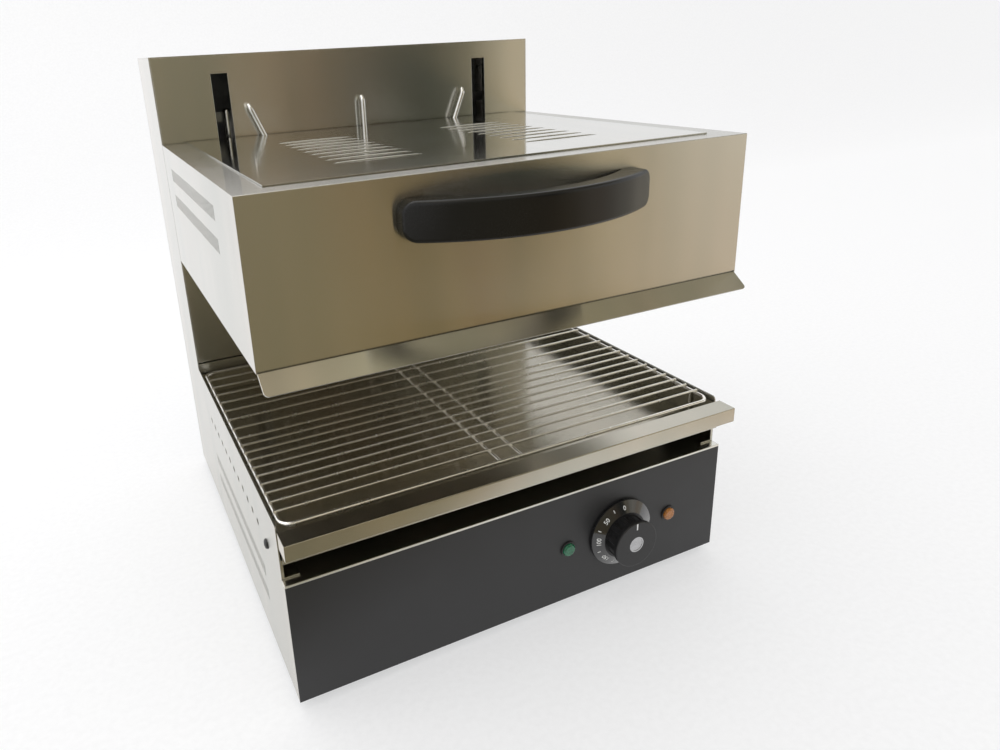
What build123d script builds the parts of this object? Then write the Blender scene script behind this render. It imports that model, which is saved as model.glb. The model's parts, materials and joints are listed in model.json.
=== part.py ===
"""Lift salamander grill: a base with a pull-out pan and a wire grid, and a heated hood.

The hood slides up and down in front of a tower and hangs on two ropes, which run over
pulleys to a counterweight inside the tower. Sizes are in millimetres. X points to the
right of a person in front of the grill, Y to the back and Z up. The origin lies on the
resting surface, under the middle of the whole object.
"""

import math
import os

from build123d import *

os.makedirs("parts", exist_ok=True)

# ------------------------------------------------------------------ driving sizes

# Casing
body_width = 450.0  # outside of the side panels
front_to_tower = 361.0  # control panel face to tower face
tower_depth = 109.0  # tower face to back cover
tower_height = 513.8  # underside of the base to the tower's top
foot_height = 10.0
sheet = 1.0  # casing sheet
return_width = 14.0  # folded edges inside the casing
handle_reach = 46.0  # handle in front of the hood face
gland_reach = 14.0  # cable gland behind the back cover

# Base
panel_height = 116.0  # black control panel
panel_sheet = 1.2
lid_hem = 2.0  # folded front edge of the lid over the controls
lid_hem_depth = 12.0
wall_setback = 9.0  # side wall's front edge behind the panel face
wall_height = 167.5  # side wall's top above the underside of the base
wall_corner = 4.0
floor_flange = 12.0
rail_height = 174.0  # foot rail's top above the underside of the base
rail_sheet = 2.0
rail_flange = 37.0
seam = 1.5  # open line between foot rail and tower face

# Vents: fine upright slots in two rows, and a row of round holes
vent_columns = 42
vent_pitch = 5.5
vent_slot_width = 2.2
vent_slot_height = 12.0
vent_row_pitch = 26.0
vent_middle = 197.0  # middle of the side vents behind the panel face
base_vent_height = 63.0
hole_count = 12
hole_pitch = 20.0
hole_radius = 3.5
hole_height = 125.7

# Pan, runners and grid
runner_width = 14.0
runner_height = 18.0
runner_sheet = 1.5
pan_depth = 29.4  # pan's underside to the strip's top
pan_wall = 26.0
pan_side_gap = 1.0
pan_rear_gap = 4.0
strip_out = 16.0  # front strip ahead of the panel face
strip_back = 4.0  # strip's rear edge behind the panel face
strip_drop = 14.2
grid_width = 443.0
grid_front = 10.0  # grid's front behind the panel face
grid_length = 342.3
grid_corner = 11.0
grid_rod_radius = 2.0
grid_wire_radius = 1.3
grid_bar_radius = 1.5
grid_leg_radius = 1.3
grid_top_drop = 1.2  # grid frame's middle below the strip's top
grid_weld = 0.4  # how far crossing wires sink into each other
wire_overhang = 1.0  # wire's end past the frame rod's middle
close_wires = 10
close_pitch = 15.26
first_wire = 18.6  # frame rod to the first wire
wide_wires = 7
wide_pitch = 22.0
grid_bar_spacing = 22.0
grid_bar_shift = -11.0
grid_leg_inset = 26.0

# Controls
controls_height = 57.3
knob_inset = 122.0  # knob's axis inward of the casing's right side
lamp_spacing = 60.25
skirt_radius = 35.0
skirt_edge = 2.5
skirt_rise = 8.0
grip_radius = 21.8
collar_radius = 23.8  # smooth front end of the grip
collar_depth = 4.0
collar_step = 1.5
knob_depth = 26.0
knob_gap = 1.0
finger_hollows = 12
hollow_radius = 5.0
hollow_cut = 1.5
cap_radius = 8.0
cap_depth = 1.2
pointer_width = 1.8
pointer_length = 7.0
pointer_cut = 0.6
pointer_inset = 1.0
shaft_radius = 3.0
lens_radius = 6.5
lens_out = 4.0
bezel_radius = 8.0
lamp_depth = 26.0
thermostat_size = 44.0
thermostat_depth = 34.0
bushing_radius = 5.0

# Hood
hood_height = 126.2
hood_lift = 300.0  # hood's underside above the underside of the base, at rest
hood_gap = 1.5  # hood's sides to the tower face
lip_out = 16.1
lip_drop = 11.5
lip_inset = 0.8
lip_corner = 4.0
lip_groove = 1.6  # shadow line between the hood's front and the lip
hood_return = 10.0
hood_vent_drop = 38.2  # hood's top to the middle of its side vents
back_inset = 11.0  # hood's back panel in front of the tower face
plate_sheet = 1.2
plate_inset = 25.0
plate_front = 22.0
plate_overlap = 12.0
slot_rows = 9
slot_pitch = 21.4
slot_length = 77.0
slot_cut = 3.0
slot_spacing = 177.0
slot_middle = 170.5
stop_radius = 2.6
stop_spacing = 117.0
stop_lean = 12.0
stop_height = 33.0
stop_bend = 4.0
stop_from_tower = 10.0

# Handle
handle_width = 221.0
handle_height = 31.0
handle_middle = 394.5  # above the underside of the base
handle_grip = 14.0
handle_foot = 21.0
handle_end = 10.0  # how far the ends stand out of the hood face
handle_corner = 10.0
handle_round = 3.0
handle_screw_inset = 15.0

# Heating
liner_bottom_inset = 12.0
liner_slope = 23.0
liner_rise = 38.0
element_radius = 4.25
element_height = 22.0  # element axis above the hood's underside
element_pitch = 30.0
element_turn = 14.0
element_first = 55.0
element_second = 195.0
riser_inset = 11.0  # riser's axis inward of the liner's top edge
turn_inset = 14.0
short_turn_inset = 34.0
riser_top = 65.0
pin_radius = 1.5
pin_length = 8.0
clip_x = 100.0
clip_sheet = 2.0
clip_height = 24.0
bulb_radius = 3.0
bulb_length = 112.0
bulb_y = 170.0
insulation_top_gap = 5.0
wiring_gutter = 30.0
wire_radius = 1.2

# Lift
slot_inset = 68.6  # slot's middle inward of the casing's side
slot_width = 17.6
slot_bottom = 190.0
slot_below_top = 19.3
slot_return = 5.0
arm_sheet = 4.0
arm_offset = 3.6  # arm's middle outward of the slot's middle
arm_low = 20.0  # arm's underside above the hood's underside
arm_height = 70.0
arm_flange = 20.0
beam_sheet = 3.0
beam_end = 23.6  # beam's end outward of the slot's middle
beam_behind_tower = 34.0
guide_radius = 5.0
guide_offset = 7.9  # guide rod inward of the slot's middle
guide_behind_tower = 25.0
guide_below_top = 56.8
guide_dome = 4.0
guide_rail_height = 10.5
guide_rail_depth = 4.0
bush_width = 18.0
bush_depth = 20.0
bush_height = 16.0
bush_inset = 3.0
screw_radius = 2.5
screw_head = 4.5
screw_head_height = 3.0
rope_radius = 1.5
rope_x = 100.0
rope_behind_tower = 45.0
pulley_radius = 19.0
pulley_groove = 14.5
pulley_width = 8.0
axle_radius = 4.0
cheek_sheet = 2.5
cheek_gap = 1.0
bracket_top = 3.0
bracket_depth = 24.0
bracket_clearance = 1.8
pulley_rail_sheet = 4.0
anchor_sheet = 3.0
anchor_width = 24.0
anchor_drop = 14.0
ferrule_radius = 3.5
ferrule_height = 12.0
weight_width = 300.0
weight_depth = 30.0
weight_height = 151.5
weight_top = 362.0
lead_radius = 3.5
lead_bends = (24.0, 40.0)
lead_behind_beam = 17.0
lead_above_arm = 8.0
lead_stand = 90.0  # fixed foot of the lead, above the underside of the base

# Fits
running_gap = 0.05  # radial, shaft in a bearing
thread_gap = 0.05  # radial, screw in its hole
pass_gap = 0.3  # radial, tube or rope past what it goes through

# ------------------------------------------------------------------ levels and planes

half_width = body_width / 2
inner_x = half_width - sheet
total_depth = handle_reach + front_to_tower + tower_depth + gland_reach
face_y = handle_reach - total_depth / 2
tower_y = face_y + front_to_tower
back_y = tower_y + tower_depth
base_z = foot_height
panel_top = base_z + panel_height
lid_top = panel_top + lid_hem
wall_top = base_z + wall_height
rail_top = base_z + rail_height
tower_top = base_z + tower_height
cap_underside = tower_top - sheet
runner_top = lid_top + runner_height
strip_top = runner_top + pan_depth
pan_floor = runner_top + sheet
vent_y = face_y + vent_middle
control_z = base_z + controls_height
knob_x = half_width - knob_inset
hood_bottom = base_z + hood_lift
hood_top = hood_bottom + hood_height
hood_rear = tower_y - hood_gap
hood_back_y = tower_y - back_inset
plate_top = hood_top + plate_sheet
pulley_z = cap_underside - pulley_rail_sheet - bracket_top - bracket_clearance - pulley_radius
rope_turn = pulley_groove + rope_radius + pass_gap
rope_y = tower_y + rope_behind_tower
pulley_y = rope_y + rope_turn
weight_y = pulley_y + rope_turn
guide_y = tower_y + guide_behind_tower
beam_y = tower_y + beam_behind_tower
arm_bottom = hood_bottom + arm_low
arm_top = arm_bottom + arm_height
liner_foot = hood_bottom + sheet
liner_top = liner_foot + liner_rise
liner_x = inner_x - liner_bottom_inset
cover_x = liner_x - liner_slope
riser_x = cover_x - riser_inset
element_left = cover_x - turn_inset
element_right = cover_x - short_turn_inset
slot_centre = half_width - slot_inset
guide_x = slot_centre - guide_offset
guide_peak = tower_top - guide_below_top
element_z = hood_bottom + element_height
sides = {"left": -1, "right": 1}


# ------------------------------------------------------------------ shared shapes


def block(x, y, z, mode=Mode.ADD):
    """A box of the current part that spans the x, y and z ranges."""
    corner = (min(x), min(y), min(z))
    size = (abs(x[1] - x[0]), abs(y[1] - y[0]), abs(z[1] - z[0]))
    with Locations(corner):
        Box(*size, align=(Align.MIN, Align.MIN, Align.MIN), mode=mode)


def rod(start, end, radius, mode=Mode.ADD):
    """A round bar of the current part between two points."""
    line = Vector(end) - Vector(start)
    with Locations(Plane(origin=start, z_dir=line)):
        Cylinder(radius, line.length, align=(Align.CENTER, Align.CENTER, Align.MIN), mode=mode)


def tube(points, radius, bend):
    """A round bar of the current part that follows the points, with rounded bends."""
    with BuildLine():
        path = FilletPolyline(*points, radius=bend)
    with BuildSketch(Plane(origin=path @ 0, z_dir=path % 0)) as section:
        Circle(radius)
    sweep(section.sketch, path=path)


def side_vents(side, middle_z):
    """Cuts the two rows of upright slots through a side sheet of the current part."""
    outside = Plane(origin=(side * half_width, vent_y, middle_z), x_dir=(0, 1, 0), z_dir=(side, 0, 0))
    with BuildSketch(outside) as slots:
        with GridLocations(vent_pitch, vent_row_pitch, vent_columns, 2):
            Rectangle(vent_slot_width, vent_slot_height)
    extrude(slots.sketch, amount=-2 * sheet, mode=Mode.SUBTRACT)


def side_holes(side, depth):
    """Cuts the row of round holes, from the outside of the casing to a depth."""
    middle = (side * half_width, vent_y, base_z + hole_height)
    outside = Plane(origin=middle, x_dir=(0, 1, 0), z_dir=(side, 0, 0))
    with BuildSketch(outside) as holes:
        with GridLocations(hole_pitch, hole_pitch, hole_count, 1):
            Circle(hole_radius)
    extrude(holes.sketch, amount=-depth, mode=Mode.SUBTRACT)


def screw(point, direction, length, radius=screw_radius, head=screw_head, rise=screw_head_height):
    """A round-headed screw whose head sits on the point and whose shank runs in the direction."""
    start = Vector(point)
    way = Vector(direction).normalized()
    rod(start, start + way * length, radius - thread_gap)
    rod(start - way * rise, start, head)


def save(builder, label):
    """Names a finished piece and writes it."""
    builder.part.label = label
    export_step(builder.part, f"parts/{label}.step")


# ------------------------------------------------------------------ casing

cover_screw_radius = 1.75
cover_screw_x = half_width - sheet - return_width / 2
cover_screw_zs = [base_z + tower_height * share for share in (0.06, 0.28, 0.5, 0.72, 0.94)]
runner_screw = (wall_setback + 45.5, lid_top + 5.5)  # behind the panel face, and its height

for name, side in sides.items():
    with BuildPart() as side_panel:
        with BuildSketch(Plane.YZ.offset(side * half_width)):
            with BuildLine():
                Polyline(
                    (face_y + panel_sheet, base_z),
                    (face_y + panel_sheet, panel_top),
                    (face_y + wall_setback, panel_top),
                    (face_y + wall_setback, wall_top),
                    (tower_y, wall_top),
                    (tower_y, cap_underside),
                    (back_y - sheet, cap_underside),
                    (back_y - sheet, base_z),
                    close=True,
                )
            make_face()
        extrude(amount=-side * sheet)
        wall_front = side_panel.edges().filter_by(Axis.X).group_by(Axis.Y)[1].sort_by(Axis.Z)[-1]
        fillet(wall_front, wall_corner)
        rear_fold = (back_y - 2 * sheet, back_y - sheet)
        block((side * inner_x, side * (inner_x - return_width)), rear_fold, (base_z + sheet, cap_underside))
        side_vents(side, base_z + base_vent_height)
        side_holes(side, 2 * sheet)
        hole = (side * half_width, face_y + runner_screw[0], runner_screw[1])
        rod(hole, (side * (inner_x - sheet), *hole[1:]), screw_radius, mode=Mode.SUBTRACT)
        for z in cover_screw_zs:
            x = side * cover_screw_x
            rod((x, back_y, z), (x, back_y - 3 * sheet, z), cover_screw_radius, mode=Mode.SUBTRACT)
    save(side_panel, f"{name}_side_panel")

foot_radius = 14.0
foot_taper = 2.5
foot_recess = 6.5
foot_inset_x = 30.0
foot_inset_y = 36.0
foot_places = [
    (x, y)
    for x in (foot_inset_x - half_width, half_width - foot_inset_x)
    for y in (face_y + foot_inset_y, back_y - foot_inset_y)
]

floor_vent_length = 60.0
floor_vent_width = 5.0
floor_vent_pitch = 14.0

with BuildPart() as base_floor:
    floor_y = (face_y + panel_sheet, back_y - sheet)
    block((-inner_x, inner_x), floor_y, (base_z, base_z + sheet))
    for side in sides.values():
        edge = (side * inner_x, side * (inner_x - sheet))
        block(edge, (floor_y[0], back_y - 2 * sheet), (base_z, base_z + floor_flange))
    with BuildSketch(Plane.XY.offset(base_z)):
        with Locations((0, face_y + front_to_tower / 2)):
            with GridLocations(2 * floor_vent_length, floor_vent_pitch, 2, 8):
                SlotOverall(floor_vent_length, floor_vent_width)
    extrude(amount=sheet, mode=Mode.SUBTRACT)
    with Locations(*[(x, y, base_z + sheet / 2) for x, y in foot_places]):
        Cylinder(screw_radius, 2 * sheet, mode=Mode.SUBTRACT)
save(base_floor, "base_floor")

with BuildPart() as rubber_feet:
    with Locations(*[(x, y, 0) for x, y in foot_places]):
        Cone(foot_radius - foot_taper, foot_radius, foot_height, align=(Align.CENTER, Align.CENTER, Align.MIN))
        Cylinder(screw_radius, foot_height, align=(Align.CENTER, Align.CENTER, Align.MIN), mode=Mode.SUBTRACT)
        Cylinder(
            screw_head + pass_gap, foot_recess, align=(Align.CENTER, Align.CENTER, Align.MIN), mode=Mode.SUBTRACT
        )
save(rubber_feet, "rubber_feet")

with BuildPart() as foot_screws:
    for x, y in foot_places:
        screw((x, y, foot_recess), (0, 0, 1), base_z + 5 * sheet - foot_recess)
save(foot_screws, "foot_screws")

lamp_places = {"power": knob_x - lamp_spacing, "heating": knob_x + lamp_spacing}

with BuildPart() as control_panel:
    block((-half_width, half_width), (face_y, face_y + panel_sheet), (base_z, panel_top))
    fold_z = (base_z + floor_flange + sheet, panel_top - sheet)
    for side in sides.values():
        fold_x = (side * inner_x, side * (inner_x - panel_sheet))
        block(fold_x, (face_y + panel_sheet, face_y + return_width), fold_z)
    front = Plane(origin=(0, face_y, control_z), x_dir=(1, 0, 0), z_dir=(0, -1, 0))
    with BuildSketch(front):
        with Locations((knob_x, 0)):
            Circle(bushing_radius + thread_gap)
        with Locations(*[(x, 0) for x in lamp_places.values()]):
            Circle(lens_radius + thread_gap)
    extrude(amount=-panel_sheet, mode=Mode.SUBTRACT)
save(control_panel, "control_panel")

with BuildPart() as control_box_lid:
    hem_front = (face_y, face_y + wall_setback - pass_gap)
    block((-half_width, half_width), hem_front, (panel_top, lid_top))
    block((-inner_x, inner_x), (face_y, face_y + lid_hem_depth), (panel_top, lid_top))
    block((-inner_x, inner_x), (face_y, tower_y + rail_sheet), (lid_top - sheet, lid_top))
save(control_box_lid, "control_box_lid")

with BuildPart() as tower_foot_rail:
    block((-inner_x, inner_x), (tower_y, tower_y + rail_sheet), (lid_top, rail_top))
    block((-inner_x, inner_x), (tower_y, tower_y + rail_flange), (rail_top - rail_sheet, rail_top))
save(tower_foot_rail, "tower_foot_rail")

with BuildPart() as tower_front_panel:
    face_z = (rail_top + seam, cap_underside)
    block((-inner_x, inner_x), (tower_y, tower_y + sheet), face_z)
    fold_y = (tower_y + sheet, tower_y + return_width)
    for side in sides.values():
        block((side * inner_x, side * (inner_x - sheet)), fold_y, face_z)
        slot_x = (side * (slot_centre - slot_width / 2), side * (slot_centre + slot_width / 2))
        slot_z = (base_z + slot_bottom, tower_top - slot_below_top)
        outward = side * sheet
        around = (slot_x[0] - outward, slot_x[1] + outward)
        block(around, (tower_y, tower_y + sheet + slot_return), (slot_z[0] - sheet, slot_z[1] + sheet))
        block(slot_x, (tower_y, tower_y + sheet + slot_return), slot_z, mode=Mode.SUBTRACT)
save(tower_front_panel, "tower_front_panel")

back_vent_length = 70.0
back_vent_width = 4.0
back_vent_pitch = 12.0
gland_place = (half_width - 85.0, base_z + 50.0)
gland_radius = 8.0

with BuildPart() as tower_back_cover:
    block((-half_width, half_width), (back_y - sheet, back_y), (base_z, cap_underside))
    for vent_z, rows in ((base_z + 0.22 * tower_height, 5), (base_z + 0.82 * tower_height, 7)):
        with BuildSketch(Plane(origin=(0, back_y, vent_z), x_dir=(-1, 0, 0), z_dir=(0, 1, 0))):
            with GridLocations(1.5 * back_vent_length, back_vent_pitch, 2, rows):
                SlotOverall(back_vent_length, back_vent_width)
        extrude(amount=-sheet, mode=Mode.SUBTRACT)
    inlet = (gland_place[0], back_y, gland_place[1])
    rod(inlet, (inlet[0], back_y - 2 * sheet, inlet[2]), gland_radius, mode=Mode.SUBTRACT)
    for side in sides.values():
        for z in cover_screw_zs:
            x = side * cover_screw_x
            rod((x, back_y, z), (x, back_y - 2 * sheet, z), cover_screw_radius, mode=Mode.SUBTRACT)
save(tower_back_cover, "tower_back_cover")

with BuildPart() as cover_screws:
    for side in sides.values():
        for z in cover_screw_zs:
            screw((side * cover_screw_x, back_y, z), (0, -1, 0), 6 * sheet, cover_screw_radius, 3.5, 2.0)
save(cover_screws, "cover_screws")

with BuildPart() as tower_top_cap:
    block((-half_width, half_width), (tower_y, back_y), (cap_underside, tower_top))
save(tower_top_cap, "tower_top_cap")

gland_hex = 11.0
gland_nut = 6.0
gland_bore = 4.5

with BuildPart() as cable_gland:
    outside = Plane(origin=inlet, x_dir=(1, 0, 0), z_dir=(0, 1, 0))
    with BuildSketch(outside):
        RegularPolygon(gland_hex, 6)
    extrude(amount=gland_nut)
    rod(inlet, (inlet[0], back_y - gland_nut - sheet, inlet[2]), gland_radius - thread_gap)
    crown = Plane(origin=(inlet[0], back_y + gland_nut, inlet[2]), z_dir=(0, 1, 0))
    with Locations(crown):
        Cone(
            gland_radius + 1.5, gland_radius - 1.0, gland_reach - gland_nut, align=(Align.CENTER, Align.CENTER, Align.MIN)
        )
    inside = Plane(origin=(inlet[0], back_y - sheet, inlet[2]), x_dir=(1, 0, 0), z_dir=(0, -1, 0))
    with BuildSketch(inside):
        RegularPolygon(gland_hex, 6)
    extrude(amount=gland_nut - sheet)
    through = (inlet[0], back_y + gland_reach, inlet[2])
    rod(through, (inlet[0], back_y - 2 * gland_nut, inlet[2]), gland_bore, mode=Mode.SUBTRACT)
save(cable_gland, "cable_gland")

# ------------------------------------------------------------------ pan and grid

runner_front = face_y + wall_setback
runner_rear = tower_y - pan_rear_gap / 2

for name, side in sides.items():
    with BuildPart() as runner:
        across = (side * inner_x, side * (inner_x - runner_width))
        web_in = side * (inner_x - runner_sheet)
        block(across, (runner_front, runner_rear), (lid_top, runner_top))
        hollow_z = (lid_top + runner_sheet, runner_top - runner_sheet)
        block((web_in, across[1]), (runner_front, runner_rear), hollow_z, mode=Mode.SUBTRACT)
        side_holes(side, sheet + 2 * runner_sheet)
        hole = (side * half_width, face_y + runner_screw[0], runner_screw[1])
        rod(hole, (side * (inner_x - 2 * runner_sheet), *hole[1:]), screw_radius, mode=Mode.SUBTRACT)
    save(runner, f"{name}_runner")

with BuildPart() as runner_screws:
    for side in sides.values():
        place = (side * half_width, face_y + runner_screw[0], runner_screw[1])
        screw(place, (-side, 0, 0), sheet + runner_sheet + 2 * sheet, rise=2.4)
save(runner_screws, "runner_screws")

pan_x = inner_x - pan_side_gap
pan_front = face_y + strip_back
pan_rear = tower_y - pan_rear_gap
strip_y = face_y - strip_out
strip_bottom = strip_top - strip_drop

with BuildPart() as drip_pan:
    block((-pan_x, pan_x), (pan_front - sheet, pan_rear), (runner_top, runner_top + pan_wall))
    inside_y = (pan_front, pan_rear - sheet)
    block((sheet - pan_x, pan_x - sheet), inside_y, (pan_floor, runner_top + pan_wall), mode=Mode.SUBTRACT)
    front_wall = (pan_front - sheet, pan_front)
    block((-pan_x, pan_x), front_wall, (runner_top, strip_top))
    block((-half_width, half_width), (strip_y, pan_front), (strip_top - sheet, strip_top))
    block((-half_width, half_width), (strip_y, strip_y + sheet), (strip_bottom, strip_top))
    for side in sides.values():
        end_x = (side * half_width, side * inner_x)
        block(end_x, (strip_y, pan_front - sheet), (strip_bottom, strip_top))
    front_edge = drip_pan.edges().filter_by(Axis.X).group_by(Axis.Y)[0].sort_by(Axis.Z)[-1]
    fillet(front_edge, 0.8 * sheet)
save(drip_pan, "drip_pan")

grid_z = strip_top - grid_top_drop
grid_x = grid_width / 2 - grid_rod_radius
grid_y = (face_y + grid_front + grid_rod_radius, face_y + grid_front + grid_length - grid_rod_radius)
wire_ys = [grid_y[0] + first_wire + k * close_pitch for k in range(close_wires)]
wire_ys += [wire_ys[-1] + (k + 1) * wide_pitch for k in range(wide_wires)]
wire_z = grid_z + grid_rod_radius + grid_wire_radius - grid_weld
bar_z = wire_z - grid_wire_radius - grid_bar_radius + grid_weld
wire_end = grid_x + wire_overhang

with BuildPart() as grill_grid:
    with BuildLine(Plane.XY.offset(grid_z)):
        frame_path = FilletPolyline(
            (grid_x, grid_y[0]),
            (grid_x, grid_y[1]),
            (-grid_x, grid_y[1]),
            (-grid_x, grid_y[0]),
            radius=grid_corner,
            close=True,
        )
    with BuildSketch(Plane(origin=frame_path @ 0, z_dir=frame_path % 0)):
        Circle(grid_rod_radius)
    sweep(path=frame_path)
    for y in wire_ys:
        rod((-wire_end, y, wire_z), (wire_end, y, wire_z), grid_wire_radius)
    for step in (-0.5, 0.5):
        x = grid_bar_shift + step * grid_bar_spacing
        rod((x, grid_y[0], bar_z), (x, grid_y[1], bar_z), grid_bar_radius)
    for side in sides.values():
        for y in (grid_y[0] + grid_leg_inset, grid_y[1] - grid_leg_inset):
            rod((side * grid_x, y, pan_floor), (side * grid_x, y, grid_z), grid_leg_radius)
save(grill_grid, "grill_grid")

# ------------------------------------------------------------------ controls

knob_face = Plane(origin=(knob_x, face_y, control_z), x_dir=(1, 0, 0), z_dir=(0, -1, 0))
knob_section = Plane(origin=(knob_x, face_y, control_z), x_dir=(1, 0, 0), z_dir=(0, 0, -1))
knob_axis = Axis((knob_x, face_y, control_z), (0, -1, 0))
shaft_inside = 18.0
shaft_outside = 20.0
grip_end = knob_depth - collar_depth - collar_step
hub_wall = 3.5
grip_wall = 8.0

with BuildPart() as control_knob:
    with BuildSketch(knob_section):
        with BuildLine():
            Polyline(
                (0, knob_gap),
                (skirt_radius, knob_gap),
                (skirt_radius, knob_gap + skirt_edge),
                (collar_radius, knob_gap + skirt_rise),
                (grip_radius, knob_gap + skirt_rise),
                (grip_radius, grip_end),
                (collar_radius, knob_depth - collar_depth),
                (collar_radius, knob_depth),
                (0, knob_depth),
                close=True,
            )
        make_face()
    revolve(axis=knob_axis)
    rim = control_knob.edges().filter_by(GeomType.CIRCLE).sort_by(Axis.Y)[0]
    fillet(rim, 0.25 * collar_depth)
    # finger hollows along the grip, and the pointer groove in the front
    with BuildSketch(knob_face.offset(knob_gap + skirt_rise)):
        with PolarLocations(grip_radius + hollow_radius - hollow_cut, finger_hollows):
            Circle(hollow_radius)
    extrude(amount=grip_end - knob_gap - skirt_rise, mode=Mode.SUBTRACT)
    with BuildSketch(knob_face.offset(knob_depth - pointer_cut)):
        with Locations((0, collar_radius - pointer_inset - pointer_length / 2)):
            Rectangle(pointer_width, pointer_length)
    extrude(amount=pointer_cut, mode=Mode.SUBTRACT)
    # seat of the insert, hub bore and hollow back
    with BuildSketch(knob_face.offset(knob_depth - cap_depth)):
        Circle(cap_radius)
    extrude(amount=knob_depth, mode=Mode.SUBTRACT)
    with BuildSketch(knob_face):
        Circle(grip_radius - grip_wall)
        Circle(shaft_radius + hub_wall, mode=Mode.SUBTRACT)
    extrude(amount=knob_depth - grip_wall, mode=Mode.SUBTRACT)
    with BuildSketch(knob_face):
        Circle(shaft_radius)
    extrude(amount=shaft_outside, mode=Mode.SUBTRACT)
save(control_knob, "control_knob")

with BuildPart() as knob_cap:
    with BuildSketch(knob_face.offset(knob_depth - cap_depth)):
        Circle(cap_radius)
    extrude(amount=cap_depth)
    with BuildSketch(knob_face.offset(knob_depth - 0.4)):
        Circle(cap_radius - 1.2)
    extrude(amount=1.0, mode=Mode.SUBTRACT)
save(knob_cap, "knob_cap")

with BuildPart() as thermostat_shaft:
    with BuildSketch(knob_face.offset(-shaft_inside)):
        Circle(shaft_radius)
    extrude(amount=shaft_inside + shaft_outside)
save(thermostat_shaft, "thermostat_shaft")

with BuildPart() as thermostat:
    with BuildSketch(knob_face.offset(-panel_sheet)):
        RectangleRounded(thermostat_size, thermostat_size, 3.0)
    extrude(amount=-thermostat_depth)
    with BuildSketch(knob_face.offset(-panel_sheet)):
        Circle(bushing_radius)
    extrude(amount=panel_sheet)
    with BuildSketch(knob_face):
        Circle(shaft_radius + running_gap)
    extrude(amount=-shaft_inside - running_gap, mode=Mode.SUBTRACT)
save(thermostat, "thermostat")

with BuildPart() as lamp_housings:
    for x in lamp_places.values():
        lamp_face = Plane(origin=(x, face_y, control_z), x_dir=(1, 0, 0), z_dir=(0, -1, 0))
        with BuildSketch(lamp_face):
            Circle(lens_radius)
            Circle(lens_radius - 1.5, mode=Mode.SUBTRACT)
        extrude(amount=-lamp_depth)
        with BuildSketch(lamp_face):
            Circle(bezel_radius)
            Circle(lens_radius - 1.5, mode=Mode.SUBTRACT)
        extrude(amount=1.5)
        with BuildSketch(lamp_face.offset(-lamp_depth)):
            Circle(lens_radius)
        extrude(amount=3.0)
save(lamp_housings, "lamp_housings")

for name, x in lamp_places.items():
    with BuildPart() as lens:
        lamp_face = Plane(origin=(x, face_y, control_z), x_dir=(1, 0, 0), z_dir=(0, -1, 0))
        with BuildSketch(lamp_face.offset(-6.0)):
            Circle(lens_radius - 1.5)
        extrude(amount=7.5)
        with BuildSketch(lamp_face.offset(1.5)):
            Circle(lens_radius)
        extrude(amount=lens_out - 1.5)
        dome_edge = lens.edges().filter_by(GeomType.CIRCLE).sort_by(Axis.Y)[0]
        fillet(dome_edge, lens_out - 1.8)
    save(lens, f"{name}_lamp_lens")

terminal_width = 60.0
terminal_depth = 26.0
terminal_height = 34.0
lead_x = slot_centre - 31.4
lead_y = beam_y + beam_sheet + lead_behind_beam
terminal_x = (lead_x - 15.0, lead_x - 15.0 + terminal_width)
terminal_y = (lead_y - terminal_depth / 2, lead_y + terminal_depth / 2)
terminal_top = base_z + sheet + terminal_height

with BuildPart() as terminal_block:
    block(terminal_x, terminal_y, (base_z + sheet, terminal_top))
    with BuildSketch(Plane.XY.offset(terminal_top)):
        with Locations(((terminal_x[0] + terminal_x[1]) / 2 + 8.0, lead_y)):
            with GridLocations(10.0, 14.0, 4, 2):
                Circle(2.2)
    extrude(amount=-6.0, mode=Mode.SUBTRACT)
save(terminal_block, "terminal_block")

with BuildPart() as control_wiring:
    wire_level = base_z + 14.0
    drop_y = face_y + panel_sheet + thermostat_depth + 55.0
    backs = [
        (lamp_places["power"], face_y + lamp_depth, terminal_x[0] + 12.0),
        (knob_x, face_y + panel_sheet + thermostat_depth, terminal_x[0] + 30.0),
        (lamp_places["heating"], face_y + lamp_depth, terminal_x[0] + 48.0),
    ]
    for x, back, from_x in backs:
        route = [
            (from_x, terminal_y[0], wire_level),
            (from_x, drop_y + 40.0, wire_level),
            (x, drop_y, control_z),
            (x, back, control_z),
        ]
        tube(route, wire_radius, 12.0)
    rod((lead_x, lead_y, terminal_top), (lead_x, lead_y, base_z + lead_stand), lead_radius)
save(control_wiring, "control_wiring")

# ------------------------------------------------------------------ hood

lip_length = math.hypot(lip_out, lip_drop)
lip_across = (sheet * lip_drop / lip_length, -sheet * lip_out / lip_length)
lip_slope = lip_drop / lip_out
lip_tip = (face_y - lip_out, hood_bottom - lip_drop)
lip_under = (lip_tip[0] + lip_across[0], lip_tip[1] + lip_across[1])
hem_y = (face_y + sheet, face_y + 2 * sheet)
lip_root = (hem_y[1], lip_under[1] + (hem_y[1] - lip_under[0]) * lip_slope)
lip_head = (hem_y[0], hood_bottom + sheet * lip_slope)
hem_top = hood_bottom + lip_groove + sheet
plate_x = half_width - plate_inset
plate_y = (face_y + plate_front, hood_rear)

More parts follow.
